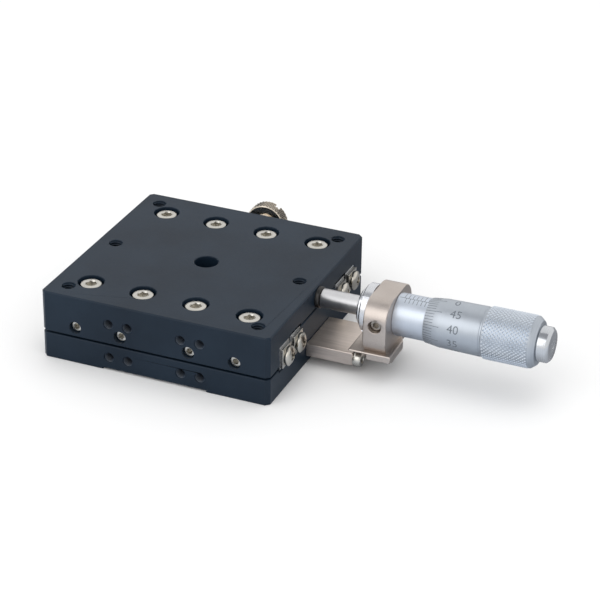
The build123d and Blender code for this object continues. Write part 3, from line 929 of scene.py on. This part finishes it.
def fasten(screw: Piece, name: str, places: Sequence[Matrix], body: str, finish: Finish,
           *nodes: str) -> None:
    """Deliver a screw, or the ridge of a thread, at each of its places as one piece.

    Args:
        screw: The modelled screw, which is used up.
        name: Name of the piece.
        places: Where the copies go.
        body: The body that they ride on.
        finish: Their finish.
        nodes: The solids that they replace.
    """
    deliver(Workshop.copies(screw, name, places), body, finish, *nodes)


# ------------------------------------------------------------------ Fasteners


@dataclass(frozen=True)
class CapSize:
    """Size of a socket-head cap screw."""

    head_radius: float
    head_height: float
    socket: float
    depth: float
    shank: float
    flutes: int = 36


M3 = CapSize(head_radius=2.75, head_height=3.0, socket=2.5, depth=1.5, shank=1.5)
M2 = CapSize(head_radius=1.9, head_height=2.0, socket=1.5, depth=1.0, shank=1.0, flutes=24)


class Fasteners:
    """Screws, each modelled once with its seat at the origin and its head up."""

    @staticmethod
    def socket(screw: Piece, width: float, depth: float, top: float = 0.0) -> None:
        """Cut a hexagon socket down into a screw.

        Args:
            screw: The screw.
            width: Width across the flats.
            depth: Depth of the socket.
            top: Height of its mouth.
        """
        Workshop.clear()
        bpy.ops.mesh.primitive_cylinder_add(
            vertices=6, radius=width / math.sqrt(3) * MM, depth=2 * depth * MM,
            location=(0, 0, top * MM))
        Workshop.cut(screw, bpy.context.object)

    @classmethod
    def cap(cls, size: CapSize, length: float) -> Piece:
        """A socket-head cap screw with a fluted head.

        Args:
            size: Its size.
            length: Length of the shank.

        Returns:
            The screw.
        """
        radius, height, shank = size.head_radius, size.head_height, size.shank
        chamfer = 0.1 * height
        screw = Workshop.turned("Cap screw", [
            (-length, 0.0), (-length, 0.8 * shank), (0.3 * shank - length, shank),
            (0.0, shank), (0.0, 0.93 * radius), (chamfer, radius),
            (height - 1.6 * chamfer, radius), (height - 0.5 * chamfer, radius - 0.8 * chamfer),
            (height, radius - 2.0 * chamfer), (height, 0.0)], ORIGIN, Axis.Z, 2 * size.flutes)
        step = math.tau / (2 * size.flutes)
        Workshop.squeeze(screw, lambda at: (
            math.hypot(at.x, at.y) > radius - 0.01
            and round(math.atan2(at.y, at.x) / step) % 2 == 0), (0.965, 0.965, 1.0))
        cls.socket(screw, size.socket, size.depth, height)
        mouth = 0.62 * size.socket
        cone = Workshop.turned("Mouth", [
            (0.0, 0.0), (-mouth, 0.0), (0.15, mouth + 0.15), (0.15, 0.0)],
            (0, 0, height), Axis.Z, 36)
        Workshop.cut(screw, cone)
        Workshop.score(screw, (0, 0, 0), Axis.Z)
        Workshop.smooth(screw)
        return screw

    @staticmethod
    def pan(head_radius: float, height: float, shank: float, length: float) -> Piece:
        """A pan-head screw with a cross recess.

        Args:
            head_radius: Radius of the head.
            height: Height of the head.
            shank: Radius of the shank.
            length: Length of the shank.

        Returns:
            The screw.
        """
        dome = [(height * (1 - 0.5 * (r / head_radius) ** 2.6), r)
                for r in [head_radius * s for s in (0.99, 0.9, 0.78, 0.62, 0.42, 0.2)]]
        screw = Workshop.turned("Pan screw", [
            (-length, 0.0), (-length, shank), (0.0, shank), (0.0, 0.97 * head_radius),
            (0.12 * height, head_radius), (0.42 * height, head_radius), *dome,
            (height, 0.0)], (0, 0, 0), Axis.Z, 48)
        for turn in (0.0, 90.0):
            wing = Workshop.block("Wing", (-0.6 * head_radius, -0.15 * head_radius, 0.3 * height),
                                  (0.6 * head_radius, 0.15 * head_radius, 2.0 * height))
            Workshop.squeeze(wing, lambda at: at.z < height, (0.55, 0.7, 1.0))
            wing.matrix_world = Matrix.Rotation(math.radians(turn), 4, "Z")
            Workshop.cut(screw, Workshop.settle(wing, "Wing"))
        Workshop.score(screw, (0, 0, 0), Axis.Z)
        Workshop.smooth(screw, 40.0)
        return screw

    @staticmethod
    def thread(radius: float, pitch: float, turns: int) -> Piece:
        """The ridge of a tapped hole's thread, wound down from the origin.

        Args:
            radius: Radius of the hole.
            pitch: Pitch of the thread.
            turns: Turns in the hole.

        Returns:
            The ridge.
        """
        ridge = Workshop.helix("Thread", [
            (radius + 0.06, 0.0), (radius - 0.3 * pitch, 0.5 * pitch),
            (radius + 0.06, 0.95 * pitch)], pitch, turns, 24)
        ridge.location.z = -(turns + 1.2) * pitch * MM
        return Workshop.settle(ridge, "Thread")

    @classmethod
    def grub(cls, radius: float, socket: float, length: float) -> Piece:
        """A socket set screw whose socket end is at the origin.

        Args:
            radius: Radius of the screw.
            socket: Width of the socket across its flats.
            length: Length below the origin.

        Returns:
            The screw.
        """
        screw = Workshop.turned("Set screw", [
            (-length, 0.0), (-length, 0.6 * radius), (0.4 * radius - length, radius),
            (-0.15 * radius, radius), (0.0, 0.85 * radius), (0.0, 0.0)], (0, 0, 0), Axis.Z, 48)
        cls.socket(screw, socket, 0.4 * length)
        Workshop.score(screw, (0, 0, 0), Axis.Z)
        Workshop.smooth(screw)
        return screw


# ------------------------------------------------------------------ Stage body


RAIL_BODIES = (("inner", "base"), ("outer", "table"))


@dataclass
class StageBody:
    """Base, table, crossed-roller guides and their fasteners."""

    half_length: float = 30.0
    height: float = 18.0
    corner_hole: float = 25.0
    side_x: tuple[float, ...] = (-12.0, -7.0, 7.0, 12.0)
    table_side_z: float = 12.5
    base_side_z: float = 3.5
    head_seat: float = 14.6
    bore_depth: float = 3.4
    screw_x: tuple[float, ...] = (-21.0, -7.0, 7.0, 21.0)
    outer_y: float = 21.0
    inner_y: float = 14.0
    rail_middle: float = 9.5
    plate_thickness: float = 0.8
    preload_x: tuple[float, ...] = (-21.0, -9.0, 9.0, 21.0)
    preload_z: float = 9.6
    preload_face: float = 28.9
    spring_z: float = 10.0
    spring_y: float = 5.0
    spring_half: float = 16.2
    spring_turns: int = 15
    spring_radius: float = 1.5
    spring_wire: float = 0.25
    wire_sides: int = 8
    loop_x: float = 19.0
    loop_radius: float = 1.3

    def build(self) -> None:
        """Make and dress every piece of the stage itself."""
        self.plates()
        self.guides()
        self.screws()
        self.threads()
        self.springs()

    def plates(self) -> None:
        """The two anodised plates, with eased edges and hole mouths."""
        for body in ("table", "base"):
            keep(f"{body}_plate", body, body, Finish.ANODISE, 0.22)

    def guides(self) -> None:
        """Rails, cages, rollers and the strips that close the rails' ends."""
        for side in ("front", "rear"):
            for place, body in RAIL_BODIES:
                keep(f"{place}_rail_{side}", f"{place}_guide_{side}", body, Finish.RAIL, 0.12)
            cage = f"cage_{side}"
            keep(cage, f"roller_cage_{side}", cage, Finish.BRASS, 0.06)
            keep(f"rollers_{side}", f"cross_rollers_{side}", cage, Finish.RAIL, 0.08)
        for place, body in RAIL_BODIES:
            keep(f"{place}_end_plates", f"{place}_stops", body, Finish.PLATE, 0.12)

    def end_places(self, y: float) -> list[Matrix]:
        """Seats of the pan screws at both ends of a pair of rails, their slots turned at will."""
        seat_x = self.half_length + self.plate_thickness
        turns = (20.0, 65.0, 38.0, 80.0)
        ends = [(end, side) for end in (-1, 1) for side in (-1, 1)]
        return [seat((end * seat_x, side * y, self.rail_middle), (end, 0, 0), turn)
                for (end, side), turn in zip(ends, turns)]

    def screws(self) -> None:
        """All screws of the stage, their sockets turned at will."""
        above = [seat((x, side * self.outer_y, self.head_seat), (0, 0, 1), 17.0 * x + 31.0 * side)
                 for side in (-1, 1) for x in self.screw_x]
        below = [seat((x, side * self.inner_y, self.bore_depth), (0, 0, -1),
                      23.0 * x + 11.0 * side) for side in (-1, 1) for x in self.screw_x]
        for (place, body), places in zip(reversed(RAIL_BODIES), (above, below)):
            fasten(Fasteners.cap(M3, 6.0), f"{body}_cap_screws", places, body, Finish.SCREW,
                   f"{place}_rail_screws")
        for (place, body), y in zip(RAIL_BODIES, (self.inner_y, self.outer_y)):
            pan = Fasteners.pan(head_radius=2.5, height=1.6, shank=1.25, length=5.0)
            fasten(pan, f"{place}_pan_screws", self.end_places(y), body, Finish.PAN,
                   f"{place}_end_screws")
        preload = [seat((x, -self.preload_face, self.preload_z), (0, -1, 0), 25.0 * x)
                   for x in self.preload_x]
        fasten(Fasteners.grub(radius=1.5, socket=1.5, length=5.4), "preload_set_screws", preload,
               "table", Finish.SCREW, "preload_screws")

    def threads(self) -> None:
        """Threads in the tapped holes of both plates."""
        wide = self.corner_hole
        corners = [(x, y) for x in (-wide, wide) for y in (-wide, wide)]
        for body, spots, face, outward, side_z in (
                ("table", [*corners, (-wide, 0), (wide, 0)], self.height, 1, self.table_side_z),
                ("base", corners, 0.0, -1, self.base_side_z)):
            fasten(Fasteners.thread(radius=1.65, pitch=0.7, turns=5), f"{body}_threads_m4",
                   [seat((x, y, face), (0, 0, outward)) for x, y in spots], body, Finish.ANODISE)
            fasten(Fasteners.thread(radius=1.25, pitch=0.5, turns=8), f"{body}_threads_m3",
                   [seat((x, -self.half_length, side_z), (0, -1, 0)) for x in self.side_x],
                   body, Finish.THREAD)

    def springs(self) -> None:
        """Two return springs with their loops, and the pins that hold them."""
        for side, name in ((-1, "front"), (1, "rear")):
            spring = self.spring(side * self.spring_y, f"pull_spring_{name}")
            deliver(spring, None, Finish.SPRING, f"return_spring_{name}")
            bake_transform(spring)
        for body in ("base", "table"):
            keep(f"{body}_spring_pins", f"{body}_pins", body, Finish.RAIL, 0.15)

    def spring(self, y: float, name: str) -> Piece:
        """A coil along X that ends in a loop round each pin.

        Args:
            y: Distance of its axis from the stage's middle.
            name: Name of the piece.

        Returns:
            The spring.
        """
        wire, foot = self.spring_wire * MM, (0, 0, self.spring_radius * MM)
        Workshop.clear()
        bpy.ops.mesh.primitive_circle_add(
            vertices=self.wire_sides, radius=wire, fill_type="NGON", location=foot,
            rotation=(0, math.pi / 2, 0))
        bpy.ops.transform.rotate(value=math.pi / 2, orient_axis="Z", center_override=foot)
        coil = Workshop.settle(bpy.context.object, "Coil")
        step = coil.modifiers.new("Wind", "SCREW")
        step.axis = "X"
        step.angle = math.tau
        step.iterations = self.spring_turns
        step.screw_offset = 2 * self.spring_half / self.spring_turns * MM
        step.steps = 20
        step.render_steps = 20
        step.use_merge_vertices = True
        Workshop.hold(coil)
        bpy.ops.object.modifier_apply(modifier=step.name)
        coil.matrix_world = Matrix.Translation(
            Vector((-self.spring_half, y, self.spring_z)) * MM)
        parts = [coil]
        for end in (-1, 1):
            Workshop.clear()
            bpy.ops.mesh.primitive_torus_add(
                location=(end * self.loop_x * MM, y * MM, self.spring_z * MM),
                major_radius=self.loop_radius * MM, minor_radius=wire, major_segments=24,
                minor_segments=self.wire_sides)
            parts.append(bpy.context.object)
        spring = Workshop.together(parts, name)
        Workshop.heal(spring, self.wire_sides)
        Workshop.smooth(spring, 50.0)
        return spring


# ------------------------------------------------------------------ Bracket


@dataclass
class Bracket:
    """Nickel-plated arm and holder that carry the micrometer."""

    arm_end: float = 42.2
    screw_y: float = 6.1
    screw_z: float = 3.6
    lock_x: float = 47.95
    lock_y: float = -7.8
    axis_z: float = 14.75

    def build(self) -> None:
        """Make and dress the bracket's pieces."""
        keep("bracket_arm", "arm", "base", Finish.BRUSHED, 0.25, 3)
        keep("micrometer_holder", "holder", "base", Finish.NICKEL, 0.3, 3)
        places = [seat((self.arm_end, side * self.screw_y, self.screw_z), (1, 0, 0), 20.0 * side)
                  for side in (-1, 1)]
        fasten(Fasteners.cap(M2, 16.7), "arm_cap_screws", places, "base", Finish.SCREW,
               "arm_screws")
        keep("holder_screws", "foot_screws", "base", Finish.SCREW, 0.05)
        lock = seat((self.lock_x, self.lock_y, self.axis_z), (0, -1, 0), 12.0)
        fasten(Fasteners.grub(radius=1.5, socket=1.5, length=3.0), "lock_set_screw", [lock],
               "base", Finish.LOCK, "lock_screw")


# ------------------------------------------------------------------ Micrometer


@dataclass
class Micrometer:
    """Micrometer head: stem, nut, graduated sleeve, thimble, spindle and cap."""

    axis_z: float = 14.75
    holder_end: float = 50.9
    sleeve_radius: float = 5.25
    sleeve_end: float = 71.4
    tube_radius: float = 4.3
    notches: int = 4
    notch_foot: float = 4.85
    index_angle: float = 79.0
    index_start: float = 51.4
    index_end: float = 68.4
    first_line: float = 52.6
    whole_lines: int = 14
    half_lines: int = 13
    reach_five: float = 30.0
    reach_one: float = 20.0
    reach_half: float = 17.0
    tick_width: float = 0.13
    tick_height: float = 0.012
    bevel_start: float = 58.8
    bevel_end: float = 62.2
    bevel_low: float = 5.45
    bevel_high: float = 5.9
    barrel: tuple[tuple[float, float], ...] = ((62.35, 5.93), (72.5, 6.1))
    bore_end: float = 81.5
    body_end: float = 86.3
    divisions: int = 50
    line_long: float = 4.1
    line_short: float = 2.4
    zero_angle: float = 89.3
    figure_height: float = 2.05
    figure_start: float = 64.9
    knurl_start: float = 73.3
    knurl_end: float = 84.9
    knurl_radius: float = 6.5
    knurl_depth: float = 0.42
    knurl_columns: int = 80
    knurl_rows: int = 23

    @property
    def centre(self) -> Point:
        """Point on the screw's axis over the stage's middle."""
        return (0.0, 0.0, self.axis_z)

    def round_about(self, angle: float) -> Matrix:
        """A turn about the screw's axis, in degrees from the front up over the top.

        Args:
            angle: Degrees; 0 faces the front and 90 is the top.

        Returns:
            The turn, for a piece modelled at the top.
        """
        axis = Vector(self.centre) * MM
        return (Matrix.Translation(axis) @ Matrix.Rotation(math.radians(90.0 - angle), 4, "X")
                @ Matrix.Translation(-axis))

    def build(self) -> None:
        """Make and dress every piece of the head."""
        self.fixed_parts()
        self.sleeve_scale()
        self.turning_parts()
        self.knurl()
        self.thimble_scale()

    def lathe(self, name: str, node: str, body: str, finish: Finish, profile: Profile,
              steps: int = 96) -> None:
        """Turn a piece about the screw's axis and deliver it.

        Args:
            name: Name of the piece.
            node: The solid that it replaces.
            body: The body that it rides on.
            finish: Its finish.
            profile: Pairs of place along the axis and radius.
            steps: Flats in a full turn.
        """
        piece = Workshop.turned(name, profile, self.centre, steps=steps)
        Workshop.smooth(piece)
        deliver(piece, body, finish, node)

    def fixed_parts(self) -> None:
        """Stem, nut, sleeves and the button that the spindle pushes."""
        end, face, wall = self.holder_end, self.sleeve_radius, self.tube_radius
        self.lathe("stem", "micrometer_stem", "base", Finish.NUT, [
            (41.5, 2.44), (41.5, 4.15), (41.6, wall), (42.0, 4.75), (end, 4.75), (end, wall),
            (73.9, wall), (73.9, 2.44), (41.5, 2.44)])
        nut = Workshop.turned("round_nut", [
            (42.6, 4.77), (42.6, 5.6), (42.7, 5.78), (43.05, 6.15), (44.7, 6.15), (45.0, 6.0),
            (45.0, 4.77), (42.6, 4.77)], self.centre)
        for turn in range(self.notches):
            notch = Workshop.block("Notch", (42.0, -0.8, self.axis_z + self.notch_foot),
                                   (46.0, 0.8, self.axis_z + self.notch_foot + 2.15))
            notch.matrix_world = self.round_about(45.0 + 360.0 / self.notches * turn)
            Workshop.cut(nut, Workshop.settle(notch, "Notch"))
        Workshop.score(nut, self.centre, Axis.X)
        Workshop.smooth(nut)
        deliver(nut, "base", Finish.NUT, "stem_nut")
        self.lathe("scale_sleeve", "graduated_sleeve", "base", Finish.SLEEVE, [
            (end, wall), (end, 5.13), (end + 0.12, face), (self.sleeve_end - 0.12, face),
            (self.sleeve_end, 5.13), (self.sleeve_end, wall), (end, wall)])
        keep("adjusting_nut", "taper_nut", "base", Finish.RAIL, 0.15)
        self.lathe("anvil_button", "contact_button", "table", Finish.DARK, [
            (27.4, 0.0), (27.4, 1.3), (27.6, 1.5), (30.0, 1.5), (30.0, 2.7), (30.87, 2.7),
            (31.0, 2.62), (31.1, 2.45), (31.1, 0.0)])

    def ring_mark(self, x: float, start: float, stop: float) -> Piece:
        """A raised line that runs part of the way round the sleeve.

        Args:
            x: Its place along the screw's axis.
            start: Where it starts, in degrees up from the front.
            stop: Where it ends.

        Returns:
            The line.
        """
        Workshop.clear()
        bpy.ops.mesh.primitive_plane_add(size=1.0, rotation=(math.pi / 2, 0, 0))
        mark = bpy.context.object
        mark.scale = (self.tick_width * MM, 3 * self.tick_height * MM, 1.0)
        mark.location = Vector((x, 0, self.axis_z + self.sleeve_radius
                                - self.tick_height / 2)) * MM
        Workshop.settle(mark, "Mark")
        mark.matrix_world = self.round_about(start)
        Workshop.settle(mark, "Mark")
        Workshop.open(mark)
        bpy.ops.mesh.spin(steps=max(3, int(abs(stop - start) / 3)),
                          angle=math.radians(start - stop),
                          center=tuple(Vector(self.centre) * MM), axis=(1, 0, 0))
        Workshop.heal(mark, 4, 1e-7)
        return mark

    def sleeve_scale(self) -> None:
        """Index line, millimetre lines on the front of it and half millimetres behind."""
        top = self.index_angle
        marks = [self.ring_mark(self.first_line + count, top,
                                top - (self.reach_one if count % 5 else self.reach_five))
                 for count in range(self.whole_lines)]
        marks += [self.ring_mark(self.first_line + 0.5 + count, top, top + self.reach_half)
                  for count in range(self.half_lines)]
        half, surface = self.tick_width / 2, self.axis_z + self.sleeve_radius
        line = Workshop.block("Line", (self.index_start, -half, surface - 2 * self.tick_height),
                              (self.index_end, half, surface + self.tick_height))
        line.matrix_world = self.round_about(top)
        marks.append(line)
        deliver(Workshop.together(marks, "sleeve_lines"), "base", Finish.INK)

    def turning_parts(self) -> None:
        """Spindle, thimble body and end cap."""
        back, bore = self.body_end, self.bore_end
        self.lathe("spindle_rod", "spindle", "thimble", Finish.GROUND, [
            (31.1, 0.0), (31.1, 2.0), (31.13, 2.15), (31.22, 2.3), (31.4, 2.4), (bore, 2.4),
            (bore, 1.8), (back, 1.8), (back, 0.0)], 72)
        lip, low = self.bevel_start, self.bevel_low
        self.lathe("thimble_body", "thimble", "thimble", Finish.THIMBLE, [
            (lip, 5.4), (lip, 5.42), (lip + 0.04, low), (self.bevel_end, self.bevel_high),
            *self.barrel, (72.7, 6.06), (72.8, 5.95), (73.1, 5.95), (73.3, 6.15), (73.5, 6.2),
            (84.7, 6.2), (84.9, 6.32), (85.15, 6.28), (86.15, 5.5), (back, 5.35), (back, 1.8),
            (bore, 1.8), (bore, 5.4), (lip, 5.4)])
        self.lathe("ratchet_cap", "thimble_cap", "thimble", Finish.CAP, [
            (back, 0.0), (back, 4.2), (86.42, 4.35), (88.55, 4.35), (88.75, 4.28),
            (89.25, 3.78), (89.4, 3.5), (89.4, 0.9), (89.3, 0.75), (89.3, 0.0)])

    def knurl(self) -> None:
        """Diamond knurl: a ring whose grid is raised and sunk in turn, split along its grooves."""
        length = self.knurl_end - self.knurl_start
        pitch = length / (self.knurl_rows - 1)
        rows = [self.knurl_start + pitch * row for row in range(self.knurl_rows)]
        foot = self.knurl_radius - self.knurl_depth
        ring = Workshop.turned("thimble_knurl", [
            (rows[0], 5.9), (rows[0], foot), *[(x, self.knurl_radius) for x in rows[1:-1]],
            (rows[-1], foot), (rows[-1], 5.9), (rows[0], 5.9)], self.centre,
            steps=self.knurl_columns)
        Workshop.diamonds(ring, self.centre, Axis.X, self.knurl_radius, self.knurl_depth,
                          rows[0], pitch, self.knurl_columns)
        deliver(ring, "thimble", Finish.KNURL)

    def thimble_scale(self) -> None:
        """Fifty lines on the thimble's taper, every fifth longer, and figures behind them."""
        slope = math.atan2(self.bevel_high - self.bevel_low, self.bevel_end - self.bevel_start)
        half = self.tick_width / 2
        marks = []
        for count in range(self.divisions):
            reach = self.line_short if count % 5 else self.line_long
            line = Workshop.block("Line", (0.1, -half, -2 * self.tick_height),
                                  (reach, half, self.tick_height))
            tilt = (Matrix.Translation(Vector((self.bevel_start, 0,
                                               self.axis_z + self.bevel_low)) * MM)
                    @ Matrix.Rotation(-slope, 4, "Y"))
            turn = self.zero_angle - 360.0 / self.divisions * (self.divisions - count)
            line.matrix_world = self.round_about(turn) @ tilt
            marks.append(line)
        deliver(Workshop.together(marks, "thimble_lines"), "thimble", Finish.INK)
        figures = [self.figure(5 * count, self.zero_angle - 36.0 * (10 - count))
                   for count in range(self.divisions // 5)]
        deliver(Workshop.together(figures, "thimble_figures"), "thimble", Finish.INK)

    def figure(self, number: int, angle: float) -> Piece:
        """A figure that reads along the thimble, wrapped on its surface.

        Args:
            number: What it says.
            angle: Where its middle is, in degrees up from the front.

        Returns:
            The figure.
        """
        Workshop.clear()
        bpy.ops.object.text_add()
        text = bpy.context.object
        text.data.body = str(number)
        text.data.size = self.figure_height / CAPITAL * MM
        text.data.extrude = self.tick_height * MM
        text.data.align_y = "CENTER"
        text.data.resolution_u = 4
        bpy.ops.object.convert(target="MESH")
        figure = bpy.context.object
        Workshop.open(figure)
        bpy.ops.mesh.remove_doubles(threshold=1e-8)
        for step in range(-4, 5):  # rows of vertices, so that it bends round the thimble
            bpy.ops.mesh.select_all(action="SELECT")
            bpy.ops.mesh.bisect(plane_co=(0, step * self.figure_height / 8 * MM, 0),
                                plane_no=(0, 1, 0))
        Workshop.close()
        (first, low), (last, high) = self.barrel
        for vertex in figure.data.vertices:
            flat = vertex.co / MM
            x = self.figure_start + flat.x
            surface = low + (x - first) * (high - low) / (last - first) + flat.z
            around = math.radians(angle) + flat.y / surface
            vertex.co = Vector((x, -surface * math.cos(around),
                                self.axis_z + surface * math.sin(around))) * MM
        Workshop.open(figure)
        bpy.ops.mesh.normals_make_consistent(inside=False)
        Workshop.close()
        return figure


# ------------------------------------------------------------------ Rear clamp


@dataclass
class RearClamp:
    """Block on the base's rear side with the clamp screw, its pad and its bolts."""

    block_back: float = 35.1
    bolt_x: tuple[float, float] = (-7.0, 7.0)
    bolt_z: float = 3.5
    axis_z: float = 12.0
    knob_start: float = 36.2
    knob_end: float = 39.6
    knob_radius: float = 5.4
    knob_plain: float = 0.4
    knurl_rows: int = 7
    knurl_columns: int = 72
    knurl_depth: float = 0.34
    slot_width: float = 1.3
    slot_depth: float = 1.3
    slot_turn: float = -60.0

    def build(self) -> None:
        """Make and dress the clamp's pieces."""
        keep("clamp_block", "clamp_bracket", "base", Finish.ANODISE, 0.25)
        places = [seat((x, self.block_back, self.bolt_z), (0, 1, 0), 15.0 * x)
                  for x in self.bolt_x]
        fasten(Fasteners.cap(M3, 9.1), "clamp_cap_screws", places, "base", Finish.SCREW,
               "clamp_block_screws")
        keep("clamp_pad", "brass_pad", "clamp_pad", Finish.BRASS, 0.15)
        self.knob()

    def knob(self) -> None:
        """Knurled knob with its shank, and a coin slot across its end."""
        centre = (0.0, 0.0, self.axis_z)
        first = self.knob_start + self.knob_plain
        pitch = (self.knob_end - self.knob_plain - first) / (self.knurl_rows - 1)
        knob = Workshop.turned("clamp_knob", [
            (32.0, 0.0), (32.0, 1.7), (32.3, 2.0), (35.7, 2.0), (35.7, 2.9), (35.8, 3.0),
            (self.knob_start, 3.0), (self.knob_start, 4.95), (self.knob_start + 0.2, 5.15),
            *[(first + pitch * row, self.knob_radius) for row in range(self.knurl_rows)],
            (self.knob_end - 0.2, 5.15), (self.knob_end, 4.95), (self.knob_end, 2.6),
            (self.knob_end - 0.25, 2.35), (self.knob_end - 0.25, 0.0)], centre, Axis.Y,
            self.knurl_columns)
        Workshop.diamonds(knob, centre, Axis.Y, self.knob_radius, self.knurl_depth, first, pitch,
                          self.knurl_columns)
        reach, half = self.knob_radius + 2.6, self.slot_width / 2
        groove = Workshop.block("Groove", (-reach, self.knob_end - self.slot_depth, -half),
                                (reach, self.knob_end + 1.0, half))
        groove.matrix_world = (Matrix.Translation(Vector(centre) * MM)
                               @ Matrix.Rotation(math.radians(self.slot_turn), 4, "Y"))
        Workshop.cut(knob, Workshop.settle(groove, "Groove"))
        Workshop.score(knob, centre, Axis.Y)
        Workshop.smooth(knob, 20.0)
        deliver(knob, "clamp_screw", Finish.KNOB, "clamp_screw")


# ------------------------------------------------------------------ Studio


@dataclass(frozen=True)
class Lamp:
    """A soft square lamp: its place and side in metres, its watts, and if gloss shows it."""

    name: str
    place: Point
    size: float
    power: float
    seen: bool = True


@dataclass
class Studio:
    """Camera, lamps, pale floor and white surroundings."""

    azimuth: float = 22.389
    elevation: float = 28.130
    roll: float = 0.873
    distance: float = 0.5312
    target: Point = (28.883, -8.999, 18.0)
    lens: float = 133.24
    ambient: float = 0.85
    floor_tone: Colour = (0.93, 0.93, 0.93)
    # Floor tones that only reflections see: a painted grey in front and painted shade behind.
    front_in_gloss: Colour = (0.72, 0.76, 0.82)
    rear_in_gloss: Colour = (0.30, 0.31, 0.33)
    lamps: tuple[Lamp, ...] = (Lamp("Key", (-0.35, -0.95, 0.85), 1.2, 4.8),
                               Lamp("Top", (0.10, 0.15, 1.20), 1.0, 3.0, seen=False))
    flag_place: Point = (0.0, -0.34, 1.25)
    flag_size: Point = (3.0, 0.1, 1.0)
    flag_tone: Colour = (0.4, 0.41, 0.43)

    def build(self) -> None:
        """Set up everything that isn't the object."""
        self.camera()
        self.surroundings()
        self.floor()
        for lamp in self.lamps:
            self.light(lamp)
        self.flag()
        bpy.context.scene.view_settings.view_transform = "Standard"

    def camera(self) -> None:
        """The camera, turned by its azimuth, elevation and roll."""
        azimuth, elevation, roll = (math.radians(angle) for angle in
                                    (self.azimuth, self.elevation, self.roll))
        back = Vector((math.sin(azimuth) * math.cos(elevation),
                       -math.cos(azimuth) * math.cos(elevation), math.sin(elevation)))
        right = Vector((math.cos(azimuth), math.sin(azimuth), 0.0))
        up = back.cross(right)
        across = math.cos(roll) * right + math.sin(roll) * up
        upward = math.cos(roll) * up - math.sin(roll) * right
        turn = Matrix((across, upward, back)).transposed().to_4x4()
        data = bpy.data.cameras.new("Camera")
        data.lens = self.lens
        data.sensor_width = 36.0
        data.clip_start = 0.01
        data.clip_end = 20.0
        camera = bpy.data.objects.new("Camera", data)
        bpy.context.scene.collection.objects.link(camera)
        camera.matrix_world = Matrix.Translation(
            back * self.distance + Vector(self.target) * MM) @ turn
        bpy.context.scene.camera = camera

    def surroundings(self) -> None:
        """World that is white to the camera and to gloss, and softer as light."""
        world = bpy.data.worlds.new("Surroundings")
        bpy.context.scene.world = world
        nodes = NodeTree(world)
        rays = nodes.node("ShaderNodeLightPath").outputs
        camera, gloss, glass = (Signal(nodes, rays[f"Is {kind} Ray"])
                                for kind in ("Camera", "Glossy", "Transmission"))
        level = nodes.node("ShaderNodeMapRange", {"clamp": True}, {
            "Value": camera + gloss + glass, "To Min": self.ambient, "To Max": 1.0})
        sky = nodes.node("ShaderNodeBackground", inputs={
            "Color": (1.0, 1.0, 1.0, 1.0), "Strength": level.outputs["Result"]})
        nodes.node("ShaderNodeOutputWorld", inputs={"Surface": sky.outputs["Background"]})

    def floor(self) -> None:
        """A wide pale floor that takes the object's shadow; reflections see it in painted tones, a
        grey in front and painted shade behind the object.
        """
        Workshop.clear()
        bpy.ops.mesh.primitive_plane_add(size=12.0)
        floor = bpy.context.object
        floor.name = "Floor"
        recipe = Recipe("Floor")
        path = recipe.node("ShaderNodeLightPath")
        place = recipe.node("ShaderNodeTexCoord").outputs["Object"]
        parts = recipe.node("ShaderNodeSeparateXYZ", inputs={"Vector": place})
        # Painted reflection: glossy rays see the floor greyer in front and dark behind the object,
        # painted shade standing in for the shade near it.
        behind = recipe.level(Signal(recipe, parts.outputs["Y"]), -0.025, 0.015)
        seen = recipe.mix(behind, self.front_in_gloss, self.rear_in_gloss)
        recipe.dress(Roughness=0.9, Base_Color=recipe.mix(
            Signal(recipe, path.outputs["Is Glossy Ray"]), self.floor_tone, seen))
        floor.data.materials.append(recipe.material)

    def flag(self) -> None:
        """A dark strip overhead that only reflections see."""
        Workshop.clear()
        bpy.ops.mesh.primitive_plane_add(size=1.0, location=self.flag_place,
                                         scale=self.flag_size)
        flag = bpy.context.object
        flag.name = "Flag"
        recipe = Recipe("Flag")
        recipe.dress(Base_Color=(*self.flag_tone, 1.0), Roughness=0.9)
        flag.data.materials.append(recipe.material)
        flag.visible_camera = False
        flag.visible_diffuse = False
        flag.visible_shadow = False

    def light(self, lamp: Lamp) -> None:
        """Hang a lamp and aim it at the object."""
        data = bpy.data.lights.new(lamp.name, "AREA")
        data.shape = "SQUARE"
        data.size = lamp.size
        data.energy = lamp.power
        light = bpy.data.objects.new(lamp.name, data)
        light.visible_glossy = lamp.seen
        bpy.context.scene.collection.objects.link(light)
        aim = Vector(self.target) * MM - Vector(lamp.place)
        light.matrix_world = (Matrix.Translation(Vector(lamp.place))
                              @ aim.to_track_quat("-Z", "Y").to_matrix().to_4x4())


def main() -> None:
    """Build the studio and each sub-assembly in order."""
    logging.basicConfig(level=logging.INFO, format="%(name)s: %(message)s")
    Studio().build()
    for assembly in (StageBody(), Bracket(), Micrometer(), RearClamp()):
        log.info("building %s", type(assembly).__name__)
        assembly.build()
    Workshop.clear()


if __name__ == "__main__":
    main()
